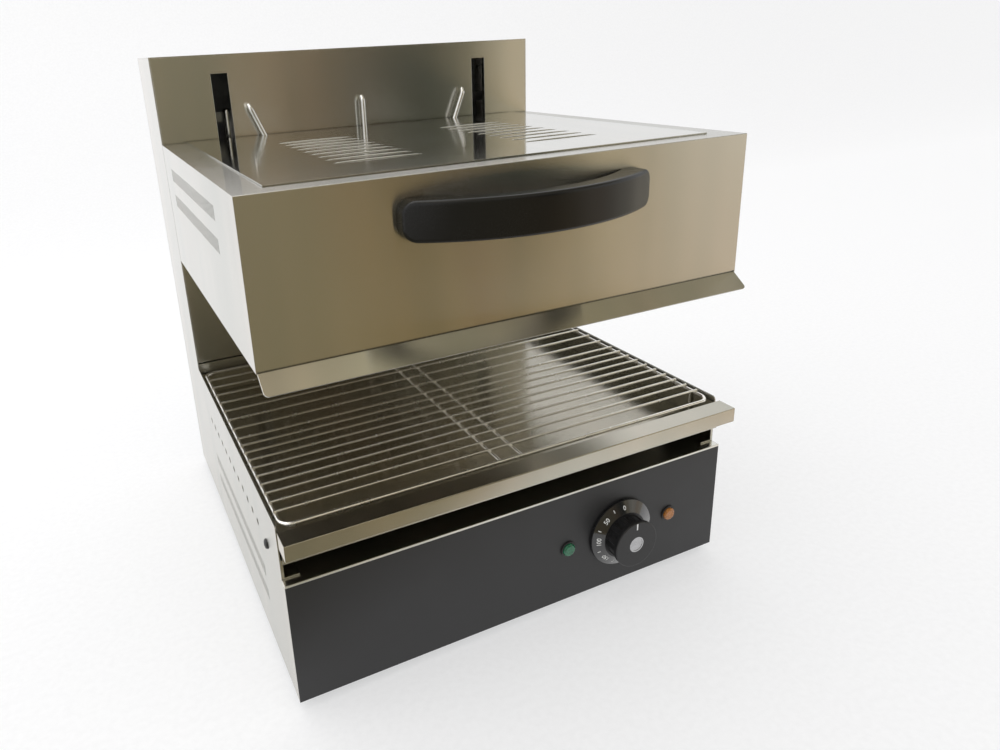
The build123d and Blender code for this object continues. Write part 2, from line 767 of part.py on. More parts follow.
with BuildPart() as hood_shell:
    hood_z = (hood_bottom, hood_top)
    block((-half_width, half_width), (face_y, hood_rear), hood_z)
    block((-inner_x, inner_x), (face_y + sheet, hood_rear), (hood_bottom, hood_top - sheet), mode=Mode.SUBTRACT)
    opening_x = plate_x - plate_overlap
    opening_y = (plate_y[0] + plate_overlap, hood_rear - plate_inset)
    block((-opening_x, opening_x), opening_y, (hood_top - sheet, hood_top), mode=Mode.SUBTRACT)
    for side in sides.values():
        fold_x = (side * inner_x, side * (inner_x - hood_return))
        block(fold_x, (face_y + sheet, hood_back_y - sheet), (hood_bottom, hood_bottom + sheet))
        side_vents(side, hood_top - hood_vent_drop)
    # slanted lip with a hem that stands behind the groove over it
    groove_z = (hood_bottom, hood_bottom + lip_groove)
    block((-inner_x, inner_x), (face_y, face_y + sheet), groove_z, mode=Mode.SUBTRACT)
    with BuildSketch(Plane.YZ.offset(lip_inset - half_width)):
        with BuildLine():
            Polyline(lip_head, lip_tip, lip_under, lip_root, (hem_y[1], hem_top), (hem_y[0], hem_top), close=True)
        make_face()
    extrude(amount=body_width - 2 * lip_inset)
    lip_ends = [e for e in hood_shell.edges() if e.center().Y < lip_under[0] and e.length < 2 * sheet]
    fillet(lip_ends, lip_corner)
    handle_z = base_z + handle_middle
    handle_screw_x = handle_width / 2 - handle_screw_inset
    for x in (-handle_screw_x, handle_screw_x):
        rod((x, face_y, handle_z), (x, face_y + 2 * sheet, handle_z), screw_radius, mode=Mode.SUBTRACT)
    upper_corners = hood_shell.edges().filter_by(Axis.X).group_by(Axis.Z)[-1].sort_by(Axis.Y)[0]
    fillet(upper_corners, 0.8 * sheet)
save(hood_shell, "hood_shell")

with BuildPart() as hood_top_plate:
    block((-plate_x, plate_x), plate_y, (hood_top, plate_top))
    with BuildSketch(Plane.XY.offset(hood_top)):
        with Locations((0, face_y + slot_middle)):
            with GridLocations(slot_spacing, slot_pitch, 2, slot_rows):
                SlotOverall(slot_length, slot_cut)
    extrude(amount=plate_sheet, mode=Mode.SUBTRACT)
save(hood_top_plate, "hood_top_plate")

with BuildPart() as plate_stops:
    foot_y = tower_y - stop_from_tower
    for place, lean in ((-stop_spacing, -stop_lean), (0.0, 0.0), (stop_spacing, stop_lean)):
        route = [
            (place - lean * 0.1, foot_y, plate_top - 0.1 * stop_height),
            (place + lean, foot_y, plate_top + stop_height - stop_bend),
            (place + 1.1 * lean, foot_y + stop_bend, plate_top + stop_height),
        ]
        tube(route, stop_radius, 3.2)
    clear = stop_spacing + 3 * stop_lean
    block((-clear, clear), (foot_y - stop_lean, tower_y), (hood_bottom, plate_top), mode=Mode.SUBTRACT)
save(plate_stops, "plate_stops")

arm_x = slot_centre + arm_offset
arm_screw_x = arm_x - arm_sheet / 2 + arm_flange - 2.5 * screw_radius
arm_screw_zs = (arm_bottom + 15.0, arm_top - 15.0)
lead_out_x = slot_centre + 2.1
lead_z = arm_top + lead_above_arm
hood_lead_radius = lead_radius + pass_gap

with BuildPart() as hood_back_panel:
    block((-inner_x, inner_x), (hood_back_y - sheet, hood_back_y), (liner_foot, hood_top - sheet))
    for side in sides.values():
        for z in arm_screw_zs:
            x = side * arm_screw_x
            rod((x, hood_back_y - 2 * sheet, z), (x, hood_back_y, z), screw_radius, mode=Mode.SUBTRACT)
    hole = (lead_out_x, hood_back_y, lead_z)
    rod(hole, (hole[0], hood_back_y - 2 * sheet, hole[2]), hood_lead_radius, mode=Mode.SUBTRACT)
save(hood_back_panel, "hood_back_panel")

handle_half = handle_width / 2
inner_half = handle_half - handle_foot
handle_inner_reach = handle_reach - handle_grip
end_y = face_y - handle_end

with BuildPart() as hood_handle:
    with BuildSketch(Plane.XY.offset(handle_z - handle_height / 2)):
        with BuildLine():
            Line((-handle_half, face_y), (-handle_half, end_y))
            ThreePointArc((-handle_half, end_y), (0, face_y - handle_reach), (handle_half, end_y))
            Line((handle_half, end_y), (handle_half, face_y))
            Line((handle_half, face_y), (inner_half, face_y))
            ThreePointArc((inner_half, face_y), (0, face_y - handle_inner_reach), (-inner_half, face_y))
            Line((-inner_half, face_y), (-handle_half, face_y))
        make_face()
    extrude(amount=handle_height)
    with BuildSketch(Plane(origin=(0, face_y, handle_z), x_dir=(1, 0, 0), z_dir=(0, -1, 0))):
        RectangleRounded(handle_width, handle_height, handle_corner)
    extrude(amount=handle_reach, mode=Mode.INTERSECT)
    outer_face = hood_handle.faces().filter_by(GeomType.CYLINDER).sort_by(Axis.Y)[0]
    fillet(outer_face.edges(), handle_round)
    for x in (-handle_screw_x, handle_screw_x):
        rod((x, face_y, handle_z), (x, face_y - 8.0, handle_z), screw_radius, mode=Mode.SUBTRACT)
save(hood_handle, "hood_handle")

with BuildPart() as handle_screws:
    for x in (-handle_screw_x, handle_screw_x):
        screw((x, face_y + sheet, handle_z), (0, -1, 0), sheet + 7.0)
save(handle_screws, "handle_screws")

# Reflector: a shallow inverted tray that hangs on the folds of the shell
liner_y = (face_y + sheet + liner_bottom_inset, hood_back_y - sheet - liner_bottom_inset)
liner_middle = (liner_y[0] + liner_y[1]) / 2
liner_length = liner_y[1] - liner_y[0]
element_ys = [
    [face_y + first + k * element_pitch for k in range(4)] for first in (element_first, element_second)
]
riser_ys = [ys[k] for ys in element_ys for k in (0, -1)]
bulb_place = face_y + bulb_y

with BuildPart() as reflector:
    with BuildSketch(Plane.XY.offset(liner_foot)):
        with Locations((0, liner_middle)):
            Rectangle(2 * liner_x, liner_length)
    with BuildSketch(Plane.XY.offset(liner_top)):
        with Locations((0, liner_middle)):
            Rectangle(2 * (liner_x - liner_slope), liner_length - 2 * liner_slope)
    loft()
    flange_y = (hem_y[1] + pass_gap, hood_back_y - sheet - pass_gap)
    flange_x = inner_x - pass_gap
    block((-flange_x, flange_x), flange_y, (liner_foot, liner_foot + sheet))
    with BuildSketch(Plane.XY.offset(liner_foot)):
        with Locations((0, liner_middle)):
            Rectangle(2 * (liner_x - sheet), liner_length - 2 * sheet)
    with BuildSketch(Plane.XY.offset(liner_top - sheet)):
        with Locations((0, liner_middle)):
            Rectangle(2 * (liner_x - liner_slope - sheet), liner_length - 2 * (liner_slope + sheet))
    loft(mode=Mode.SUBTRACT)
    for y in riser_ys:
        rod((riser_x, y, liner_foot), (riser_x, y, liner_top), element_radius + pass_gap, mode=Mode.SUBTRACT)
    rod((riser_x, bulb_place, liner_foot), (riser_x, bulb_place, liner_top), 1.6, mode=Mode.SUBTRACT)
save(reflector, "reflector")

cover_y = (liner_y[0] + liner_slope, liner_y[1] - liner_slope)

with BuildPart() as insulation:
    insulation_z = (liner_top, hood_top - sheet - insulation_top_gap)
    block((-cover_x, cover_x - wiring_gutter), cover_y, insulation_z)
save(insulation, "insulation")

for name, ys in zip(("front", "rear"), element_ys):
    with BuildPart() as element:
        top = hood_bottom + riser_top
        route = [
            (riser_x, ys[0], top),
            (riser_x, ys[0], element_z),
            (-element_left, ys[0], element_z),
            (-element_left, ys[1], element_z),
            (element_right, ys[1], element_z),
            (element_right, ys[2], element_z),
            (-element_left, ys[2], element_z),
            (-element_left, ys[3], element_z),
            (riser_x, ys[3], element_z),
            (riser_x, ys[3], top),
        ]
        tube(route, element_radius, element_turn)
        for y in (ys[0], ys[3]):
            rod((riser_x, y, top), (riser_x, y, top + pin_length), pin_radius)
    save(element, f"{name}_element")

with BuildPart() as element_clips:
    clip_y = (element_ys[0][0] - element_turn, element_ys[1][3] + element_turn)
    clip_top = liner_top - sheet
    for side in sides.values():
        clip_across = (side * clip_x - clip_sheet / 2, side * clip_x + clip_sheet / 2)
        block(clip_across, clip_y, (clip_top - clip_height, clip_top))
        for y in element_ys[0] + element_ys[1]:
            start = (clip_across[0], y, element_z)
            rod(start, (clip_across[1], y, element_z), element_radius + pass_gap, mode=Mode.SUBTRACT)
        start = (clip_across[0], bulb_place, element_z)
        rod(start, (clip_across[1], bulb_place, element_z), bulb_radius + pass_gap, mode=Mode.SUBTRACT)
save(element_clips, "element_clips")

with BuildPart() as sensor_bulb:
    bulb_start = -clip_x - bulb_radius * 4
    bulb_end = bulb_start + bulb_length
    rod((bulb_start, bulb_place, element_z), (bulb_end, bulb_place, element_z), bulb_radius)
    route = [
        (bulb_end - 1.0, bulb_place, element_z),
        (riser_x, bulb_place, element_z),
        (riser_x, bulb_place, hood_bottom + riser_top),
    ]
    tube(route, 1.0, 8.0)
save(sensor_bulb, "sensor_bulb")

hood_terminal_x = (lead_out_x - 8.0, lead_out_x + 28.0)
hood_terminal_depth = 22.0
hood_terminal_front = hood_back_y - sheet - hood_terminal_depth
hood_terminal_z = (lead_z - 12.0, lead_z + 12.0)

with BuildPart() as hood_terminal_block:
    block(hood_terminal_x, (hood_terminal_front, hood_back_y - sheet), hood_terminal_z)
save(hood_terminal_block, "hood_terminal_block")

with BuildPart() as hood_wiring:
    for k, y in enumerate(riser_ys):
        # the wire that reaches farthest runs above the others
        level = hood_terminal_z[1] - 6.0 - 4.0 * k
        pin_end = hood_bottom + riser_top + pin_length
        route = [(riser_x, hood_terminal_front, level), (riser_x, y, level), (riser_x, y, pin_end)]
        tube(route, wire_radius, 3 * 2 * wire_radius)
save(hood_wiring, "hood_wiring")

# ------------------------------------------------------------------ lift

for name, side in sides.items():
    with BuildPart() as arm:
        web_in = side * (arm_x - arm_sheet / 2)
        web_out = side * (arm_x + arm_sheet / 2)
        flange_end = side * (arm_x - arm_sheet / 2 + arm_flange)
        arm_z = (arm_bottom, arm_top)
        block((web_in, web_out), (hood_back_y, beam_y), arm_z)
        block((web_in, flange_end), (hood_back_y, hood_back_y + arm_sheet), arm_z)
        block((web_in, flange_end), (beam_y - arm_sheet, beam_y), arm_z)
        for z in arm_screw_zs:
            x = side * arm_screw_x
            rod((x, hood_back_y, z), (x, hood_back_y + arm_sheet, z), screw_radius, mode=Mode.SUBTRACT)
            rod((x, beam_y - arm_sheet, z), (x, beam_y, z), screw_radius, mode=Mode.SUBTRACT)
    save(arm, f"{name}_lift_arm")

with BuildPart() as arm_screws:
    for side in sides.values():
        for z in arm_screw_zs:
            x = side * arm_screw_x
            screw((x, hood_back_y - sheet, z), (0, 1, 0), sheet + arm_sheet)
            screw((x, beam_y + beam_sheet, z), (0, -1, 0), beam_sheet + arm_sheet)
save(arm_screws, "arm_screws")

with BuildPart() as carriage_beam:
    beam_x = slot_centre + beam_end
    block((-beam_x, beam_x), (beam_y, beam_y + beam_sheet), (arm_bottom, arm_top))
    for side in sides.values():
        for z in arm_screw_zs:
            x = side * arm_screw_x
            rod((x, beam_y, z), (x, beam_y + beam_sheet, z), screw_radius, mode=Mode.SUBTRACT)
    with BuildSketch(Plane(origin=(0, beam_y, arm_bottom + arm_height / 2), x_dir=(1, 0, 0), z_dir=(0, -1, 0))):
        with GridLocations(60.0, 60.0, 3, 1):
            SlotOverall(42.0, 30.0)
    extrude(amount=-beam_sheet, mode=Mode.SUBTRACT)
save(carriage_beam, "carriage_beam")

with BuildPart() as guide_bushes:
    for side in sides.values():
        for low in (arm_bottom + bush_inset, arm_top - bush_inset - bush_height):
            bush_x = (side * guide_x - bush_width / 2, side * guide_x + bush_width / 2)
            block(bush_x, (beam_y - bush_depth, beam_y), (low, low + bush_height))
            bore = (side * guide_x, guide_y, low)
            rod(bore, (*bore[:2], low + bush_height), guide_radius + running_gap, mode=Mode.SUBTRACT)
save(guide_bushes, "guide_bushes")

with BuildPart() as guide_rods:
    for side in sides.values():
        rod((side * guide_x, guide_y, rail_top), (side * guide_x, guide_y, guide_peak), guide_radius)
    tops = guide_rods.edges().filter_by(GeomType.CIRCLE).group_by(Axis.Z)[-1]
    fillet(tops, guide_dome)
save(guide_rods, "guide_rods")

guide_rail_y = (guide_y + guide_radius, guide_y + guide_radius + guide_rail_depth)
guide_rail_z = (guide_peak - guide_dome - guide_rail_height, guide_peak - guide_dome)

with BuildPart() as guide_rail:
    block((-inner_x, inner_x), guide_rail_y, guide_rail_z)
save(guide_rail, "guide_rail")

with BuildPart() as pulley_rail:
    rail_y = (pulley_y - bracket_depth / 2, pulley_y + bracket_depth / 2)
    block((-inner_x, inner_x), rail_y, (cap_underside - pulley_rail_sheet, cap_underside))
save(pulley_rail, "pulley_rail")

cheek_in = pulley_width / 2 + cheek_gap
cheek_out = cheek_in + cheek_sheet
bracket_z = cap_underside - pulley_rail_sheet

with BuildPart() as pulley_brackets:
    for side in sides.values():
        x = side * rope_x
        block((x - cheek_out, x + cheek_out), rail_y, (pulley_z - 2 * axle_radius, bracket_z))
        block((x - cheek_in, x + cheek_in), rail_y, (pulley_z - 2 * axle_radius, bracket_z - bracket_top), Mode.SUBTRACT)
        hole = (x - cheek_out, pulley_y, pulley_z)
        rod(hole, (x + cheek_out, *hole[1:]), axle_radius, mode=Mode.SUBTRACT)
save(pulley_brackets, "pulley_brackets")

axle_head = 2.0

with BuildPart() as pulley_axles:
    for side in sides.values():
        x = side * rope_x
        ends = [(x + way * cheek_out, pulley_y, pulley_z) for way in (-1, 1)]
        rod(ends[0], ends[1], axle_radius)
        rod(ends[0], (ends[0][0] - axle_head, *ends[0][1:]), axle_radius + 1.5)
        rod(ends[1], (ends[1][0] + axle_head, *ends[1][1:]), axle_radius + 1.5)
save(pulley_axles, "pulley_axles")

for name, side in sides.items():
    with BuildPart() as pulley:
        centre = (side * rope_x, pulley_y, pulley_z)
        bore = axle_radius + running_gap
        half = pulley_width / 2
        with BuildSketch(Plane(origin=centre, x_dir=(1, 0, 0), z_dir=(0, -1, 0))):
            with BuildLine():
                Polyline(
                    (-half, bore),
                    (-half, pulley_radius),
                    (0.8 - half, pulley_radius),
                    (-rope_radius, pulley_groove),
                    (rope_radius, pulley_groove),
                    (half - 0.8, pulley_radius),
                    (half, pulley_radius),
                    (half, bore),
                    close=True,
                )
            make_face()
        revolve(axis=Axis(centre, (1, 0, 0)))
        with BuildSketch(Plane(origin=centre, x_dir=(0, 1, 0), z_dir=(1, 0, 0))):
            with PolarLocations((pulley_groove + axle_radius) / 2, 5):
                Circle(2.6)
        extrude(amount=half, both=True, mode=Mode.SUBTRACT)
    save(pulley, f"{name}_pulley")

# Each rope is in three stretches: hood side, over the pulley, counterweight side
anchor_top = arm_top - anchor_drop
ferrule_top = anchor_top + ferrule_height

with BuildPart() as rope_anchors:
    for side in sides.values():
        anchor_x = (side * rope_x - anchor_width / 2, side * rope_x + anchor_width / 2)
        behind = beam_y + beam_sheet
        block(anchor_x, (behind, behind + anchor_sheet), (anchor_top - 20.0, anchor_top))
        block(anchor_x, (behind, rope_y + ferrule_radius + 3.0), (anchor_top - anchor_sheet, anchor_top))
        rod((side * rope_x, rope_y, anchor_top), (side * rope_x, rope_y, ferrule_top), ferrule_radius)
save(rope_anchors, "rope_anchors")

with BuildPart() as hood_ropes:
    for side in sides.values():
        rod((side * rope_x, rope_y, ferrule_top), (side * rope_x, rope_y, pulley_z), rope_radius)
save(hood_ropes, "hood_ropes")

with BuildPart() as pulley_ropes:
    for side in sides.values():
        with BuildSketch(Plane(origin=(side * rope_x, rope_y, pulley_z))):
            Circle(rope_radius)
        revolve(axis=Axis((side * rope_x, pulley_y, pulley_z), (-1, 0, 0)), revolution_arc=180)
save(pulley_ropes, "pulley_ropes")

weight_peak = base_z + weight_top

with BuildPart() as weight_ropes:
    for side in sides.values():
        rod((side * rope_x, weight_y, weight_peak), (side * rope_x, weight_y, pulley_z), rope_radius)
save(weight_ropes, "weight_ropes")

with BuildPart() as counterweight:
    weight_z = (weight_peak - weight_height, weight_peak)
    weight_span = (weight_y - weight_depth / 2, weight_y + weight_depth / 2)
    block((-weight_width / 2, weight_width / 2), weight_span, weight_z)
    chamfer(counterweight.edges().filter_by(Axis.X), 2.0)
save(counterweight, "counterweight")

# The lead to the hood: a fixed stretch on the carriage, and its slack down to the lead's foot
lead_start = (lead_out_x, hood_back_y - sheet, lead_z)
lead_end = (lead_x, lead_y, arm_bottom)

with BuildPart() as hood_lead:
    route = [
        lead_start,
        (lead_out_x, lead_y, lead_z),
        (lead_x, lead_y, arm_bottom + 30.0),
        lead_end,
    ]
    tube(route, lead_radius, lead_bends)
save(hood_lead, "hood_lead")

with BuildPart() as lead_slack:
    rod((lead_x, lead_y, base_z + lead_stand), lead_end, lead_radius)
save(lead_slack, "lead_slack")
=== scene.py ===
"""Looks of the lift salamander grill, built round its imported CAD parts."""

import json
import math
import random

import bmesh
import bpy
from mathutils import Matrix, Vector


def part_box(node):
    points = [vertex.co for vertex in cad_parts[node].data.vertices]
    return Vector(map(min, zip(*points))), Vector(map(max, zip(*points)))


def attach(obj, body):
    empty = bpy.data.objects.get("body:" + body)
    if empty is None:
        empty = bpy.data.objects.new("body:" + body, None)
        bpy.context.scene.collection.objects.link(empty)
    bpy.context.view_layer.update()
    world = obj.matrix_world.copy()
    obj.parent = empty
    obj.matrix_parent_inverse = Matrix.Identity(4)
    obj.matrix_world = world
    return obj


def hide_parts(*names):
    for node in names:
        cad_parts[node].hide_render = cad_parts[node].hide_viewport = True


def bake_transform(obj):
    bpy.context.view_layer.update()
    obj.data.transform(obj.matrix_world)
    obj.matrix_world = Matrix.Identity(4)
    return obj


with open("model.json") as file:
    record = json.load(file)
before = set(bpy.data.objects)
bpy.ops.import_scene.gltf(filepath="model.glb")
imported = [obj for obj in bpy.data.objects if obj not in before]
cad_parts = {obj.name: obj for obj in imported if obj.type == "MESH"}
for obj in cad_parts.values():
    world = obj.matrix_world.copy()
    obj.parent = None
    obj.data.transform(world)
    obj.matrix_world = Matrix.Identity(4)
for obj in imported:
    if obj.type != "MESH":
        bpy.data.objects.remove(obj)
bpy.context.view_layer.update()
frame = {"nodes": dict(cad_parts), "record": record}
random.seed(7)
scene = bpy.context.scene

# Lengths are in metres, in the CAD frame.

# ------------------------------------------------------------------ node helpers


def new_material(name):
    """A material with its node tree and its Principled shader."""
    mat = bpy.data.materials.new(name)
    mat.use_nodes = True
    tree = mat.node_tree
    return mat, tree, tree.nodes["Principled BSDF"]


def add(tree, kind, settings=None, **inputs):
    """Adds a node. Inputs are values or sockets, by name or by number as i0, i1."""
    node = tree.nodes.new(kind)
    for key, value in (settings or {}).items():
        setattr(node, key, value)
    for key, value in inputs.items():
        by_number = key[0] == "i" and key[1:].isdigit()
        socket = node.inputs[int(key[1:])] if by_number else node.inputs[key.replace("_", " ")]
        if isinstance(value, bpy.types.NodeSocket):
            tree.links.new(value, socket)
        else:
            socket.default_value = value
    return node


def math_node(tree, operation, a, b=0.0):
    return add(tree, "ShaderNodeMath", {"operation": operation}, i0=a, i1=b).outputs[0]


def mix_value(tree, factor, a, b):
    return add(tree, "ShaderNodeMix", {"data_type": "FLOAT"}, i0=factor, i2=a, i3=b).outputs[0]


def mix_colour(tree, factor, a, b, blend="MIX"):
    colours = [c if isinstance(c, bpy.types.NodeSocket) else (*c[:3], 1.0) for c in (a, b)]
    settings = {"data_type": "RGBA", "blend_type": blend}
    return add(tree, "ShaderNodeMix", settings, i0=factor, i6=colours[0], i7=colours[1]).outputs[2]


def remap(tree, value, low, high, to_low=0.0, to_high=1.0):
    node = add(tree, "ShaderNodeMapRange", None, Value=value, i1=low, i2=high, i3=to_low, i4=to_high)
    return node.outputs[0]


def noise(tree, vector, scale, detail=2.0, roughness=0.5):
    node = add(tree, "ShaderNodeTexNoise", None, Vector=vector, Scale=scale, Detail=detail)
    node.inputs["Roughness"].default_value = roughness
    return node.outputs["Fac"]


def stretched(tree, vector, scale):
    return add(tree, "ShaderNodeVectorMath", {"operation": "MULTIPLY"}, i0=vector, i1=scale).outputs[0]


def object_place(tree):
    return tree.nodes.new("ShaderNodeTexCoord").outputs["Object"]


def place_parts(tree):
    """The x, y and z of a point of the surface."""
    return add(tree, "ShaderNodeSeparateXYZ", None, Vector=object_place(tree)).outputs


def shade_of_grey(tree, value):
    return add(tree, "ShaderNodeCombineColor", None, Red=value, Green=value, Blue=value).outputs[0]


def darker(colour, share):
    return [c * share for c in colour]


# ------------------------------------------------------------------ materials

EDGE_ROUND = 0.0006  # the soft edge of folded and moulded parts
KNOB_ROUND = 0.0004
WIDE_ROUND = 0.001  # of the handle and of the control box's hem
BUMP_DEPTH = 0.0002
# how far the painted shade in creases reaches
CREASE_SHADE_REACH = 0.004
KNOB_AXIS = (0.103, 0.0673)  # x and z of the knob's axis
SKIRT_INNER = 0.0242  # inner radius of the knob's skirt
FACING = 0.7  # a face is level or a side where its normal's part is over this
NOISE_BAND = (0.3, 0.7)  # most of a noise's values lie between these
# Scales of the steel's noises along the grain, across it and by the number of the face
FINE_GRAIN = (10.0, 2000.0, 3.0)
SCRATCHES = (5.0, 900.0, 3.0)
# the scales of the painted reflection bands
REFLECTION_BANDS = (16.0, 1.2, 3.0)
SPANGLE = 110.0  # scale of the zinc's flakes
LENS_FACETS = 650.0  # scale of the facets behind a lens


def rounded_normal(tree, radius=EDGE_ROUND):
    return add(tree, "ShaderNodeBevel", {"samples": 4}, Radius=radius).outputs[0]


def bumped(tree, shader, height, strength, depth=BUMP_DEPTH, normal=None):
    """Gives the shader a bump, over rounded edges where a normal is given."""
    bump = add(tree, "ShaderNodeBump", None, Strength=strength, Distance=depth, Height=height)
    if normal:
        tree.links.new(normal, bump.inputs["Normal"])
    tree.links.new(bump.outputs[0], shader.inputs["Normal"])


def over(tree, part):
    """Whether a part of the normal, of either sign, is over FACING."""
    return math_node(tree, "GREATER_THAN", math_node(tree, "ABSOLUTE", part), FACING)


def face_coordinates(tree):
    """A vector of place along the grain, across it and a face number, and whether the face is level."""
    coords = tree.nodes.new("ShaderNodeTexCoord")
    x, y, z = add(tree, "ShaderNodeSeparateXYZ", None, Vector=coords.outputs["Object"]).outputs
    normal = add(tree, "ShaderNodeSeparateXYZ", None, Vector=coords.outputs["Normal"]).outputs
    side, level = over(tree, normal[0]), over(tree, normal[2])
    along = mix_value(tree, side, x, y)
    across = mix_value(tree, level, z, y)
    number = math_node(tree, "ADD", side, math_node(tree, "MULTIPLY", level, 2.0))
    vector = add(tree, "ShaderNodeCombineXYZ", None, X=along, Y=across, Z=number).outputs[0]
    return vector, level


def brushed(name, colour, roughness, anisotropy, grain=1.0, smudge=0.5, edge=EDGE_ROUND, shine=0.11):
    """Sheet steel with a fine grain along its length and faint smudges, glossier on level faces."""
    mat, tree, shader = new_material(name)
    vector, level = face_coordinates(tree)
    fine = noise(tree, stretched(tree, vector, FINE_GRAIN), 1.0, 2.0, 0.6)
    scratches = noise(tree, stretched(tree, vector, SCRATCHES), 1.0, 3.0, 0.7)
    cloud = noise(tree, object_place(tree), 6.0, 3.0, 0.55)
    lines = mix_value(tree, 0.35, fine, scratches)
    tint = remap(tree, lines, *NOISE_BAND, 1.0 - 0.022 * grain, 1.0 + 0.016 * grain)
    base = mix_colour(tree, 1.0, colour, shade_of_grey(tree, tint), "MULTIPLY")
    # painted reflection: broad soft bands across the grain, a little warmer or cooler, standing in for
    # reflected bands of the room
    reflection_bands = noise(tree, stretched(tree, vector, REFLECTION_BANDS), 1.0, 2.0, 0.5)
    tinted = mix_colour(tree, remap(tree, reflection_bands, *NOISE_BAND), (0.9, 0.92, 0.9), (1.06, 1.03, 1.0))
    base = mix_colour(tree, 1.0, base, tinted, "MULTIPLY")
    # painted shade: ambient occlusion darkens the colour in the creases
    opened = add(tree, "ShaderNodeAmbientOcclusion", {"samples": 4}, Distance=CREASE_SHADE_REACH).outputs["AO"]
    crease_shade = shade_of_grey(tree, remap(tree, opened, 0.3, 0.75, 0.4, 1.0))
    base = mix_colour(tree, 1.0, base, crease_shade, "MULTIPLY")
    dull = darker(colour, 0.84)
    soiled = mix_colour(tree, remap(tree, cloud, 0.5, 0.85, 0.0, 0.3 * smudge), base, dull)
    tree.links.new(soiled, shader.inputs["Base Color"])
    shader.inputs["Metallic"].default_value = 1.0
    shader.inputs["Anisotropic"].default_value = anisotropy
    # blurred more in smudges and along some lines, and less on level faces
    blur = remap(tree, cloud, 0.3, 0.8, roughness - 0.02, roughness + 0.04 * smudge)
    streak = remap(tree, lines, 0.25, 0.75, -0.015 * grain, 0.015 * grain)
    glossier = math_node(tree, "MULTIPLY", level, shine)
    blur = math_node(tree, "SUBTRACT", math_node(tree, "ADD", blur, streak), glossier)
    tree.links.new(blur, shader.inputs["Roughness"])
    # the tangent is Y on level faces and Z on the others
    upright = math_node(tree, "SUBTRACT", 1.0, level)
    tangent = add(tree, "ShaderNodeCombineXYZ", None, Y=level, Z=upright)
    tree.links.new(tangent.outputs[0], shader.inputs["Tangent"])
    bumped(tree, shader, lines, 0.008 * grain, normal=rounded_normal(tree, edge))
    return mat


def polished(name, colour, roughness, mottle=0.04):
    """Chrome, nickel or plain steel on wire, rod and screws."""
    mat, tree, shader = new_material(name)
    place = object_place(tree)
    cloud = noise(tree, place, 90.0, 3.0)
    mottled = mix_colour(tree, remap(tree, cloud, 0.45, 0.8), colour, darker(colour, 0.85))
    tree.links.new(mottled, shader.inputs["Base Color"])
    shader.inputs["Metallic"].default_value = 1.0
    blur = remap(tree, cloud, *NOISE_BAND, roughness, roughness + mottle)
    tree.links.new(blur, shader.inputs["Roughness"])
    bumped(tree, shader, noise(tree, place, 600.0), 0.05)
    return mat


def moulded(name, colour, roughness, grain=2500.0, relief=0.15, wear=0.2, edge=EDGE_ROUND, specular=0.5):
    """Plastic, rubber or enamel with a fine grain in relief and faint paler patches."""
    mat, tree, shader = new_material(name)
    place = object_place(tree)
    speck = noise(tree, place, grain, 2.0)
    cloud = noise(tree, place, 18.0, 4.0, 0.6)
    paler = [min(1.0, c * 1.5 + 0.01) for c in colour]
    worn = mix_colour(tree, remap(tree, cloud, 0.45, 0.8, 0.0, wear), colour, paler)
    tree.links.new(worn, shader.inputs["Base Color"])
    blur = remap(tree, cloud, *NOISE_BAND, roughness - 0.04, roughness + 0.05)
    sparkle = remap(tree, speck, *NOISE_BAND, -0.03, 0.03)
    tree.links.new(math_node(tree, "ADD", blur, sparkle), shader.inputs["Roughness"])
    shader.inputs["Specular IOR Level"].default_value = specular
    bumped(tree, shader, speck, relief, normal=rounded_normal(tree, edge))
    return mat


def knob_plastic(name):
    """Black plastic, satin on the grip and glossy on the skirt that carries the dial."""
    mat, tree, shader = new_material(name)
    x, _, z = place_parts(tree)
    axis = add(tree, "ShaderNodeCombineXYZ", None, X=KNOB_AXIS[0], Z=KNOB_AXIS[1]).outputs[0]
    flat = add(tree, "ShaderNodeCombineXYZ", None, X=x, Z=z).outputs[0]
    away = add(tree, "ShaderNodeVectorMath", {"operation": "DISTANCE"}, i0=flat, i1=axis).outputs["Value"]
    on_skirt = math_node(tree, "GREATER_THAN", away, SKIRT_INNER)
    speck = noise(tree, object_place(tree), 2200.0, 2.0)
    cloud = noise(tree, object_place(tree), 60.0, 3.0)
    base = mix_colour(tree, cloud, (0.008, 0.008, 0.009), (0.013, 0.013, 0.014))
    tree.links.new(base, shader.inputs["Base Color"])
    satin = remap(tree, speck, *NOISE_BAND, 0.38, 0.44)
    gloss = remap(tree, cloud, *NOISE_BAND, 0.12, 0.18)
    tree.links.new(mix_value(tree, on_skirt, satin, gloss), shader.inputs["Roughness"])
    tree.links.new(on_skirt, shader.inputs["Coat Weight"])
    shader.inputs["Coat Roughness"].default_value = 0.06
    relief = remap(tree, on_skirt, 0.0, 1.0, 0.06, 0.0)
    bumped(tree, shader, speck, relief, normal=rounded_normal(tree, KNOB_ROUND))
    return mat


def zinc(name):
    """Galvanised sheet with its flaky spangle."""
    mat, tree, shader = new_material(name)
    cells = add(tree, "ShaderNodeTexVoronoi", None, Vector=object_place(tree), Scale=SPANGLE)
    shade = add(tree, "ShaderNodeSeparateColor", None, Color=cells.outputs["Color"]).outputs[0]
    base = mix_colour(tree, shade, (0.22, 0.23, 0.24), (0.34, 0.35, 0.36))
    tree.links.new(base, shader.inputs["Base Color"])
    shader.inputs["Metallic"].default_value = 1.0
    tree.links.new(remap(tree, shade, 0.0, 1.0, 0.36, 0.5), shader.inputs["Roughness"])
    bumped(tree, shader, shade, 0.08)
    return mat


def wool(name):
    """Pressed mineral wool."""
    mat, tree, shader = new_material(name)
    fibre = noise(tree, stretched(tree, object_place(tree), (300.0, 900.0, 900.0)), 1.0, 4.0, 0.7)
    base = mix_colour(tree, fibre, (0.62, 0.58, 0.48), (0.86, 0.84, 0.78))
    tree.links.new(base, shader.inputs["Base Color"])
    shader.inputs["Roughness"].default_value = 0.95
    bumped(tree, shader, fibre, 0.8, 0.001)
    return mat


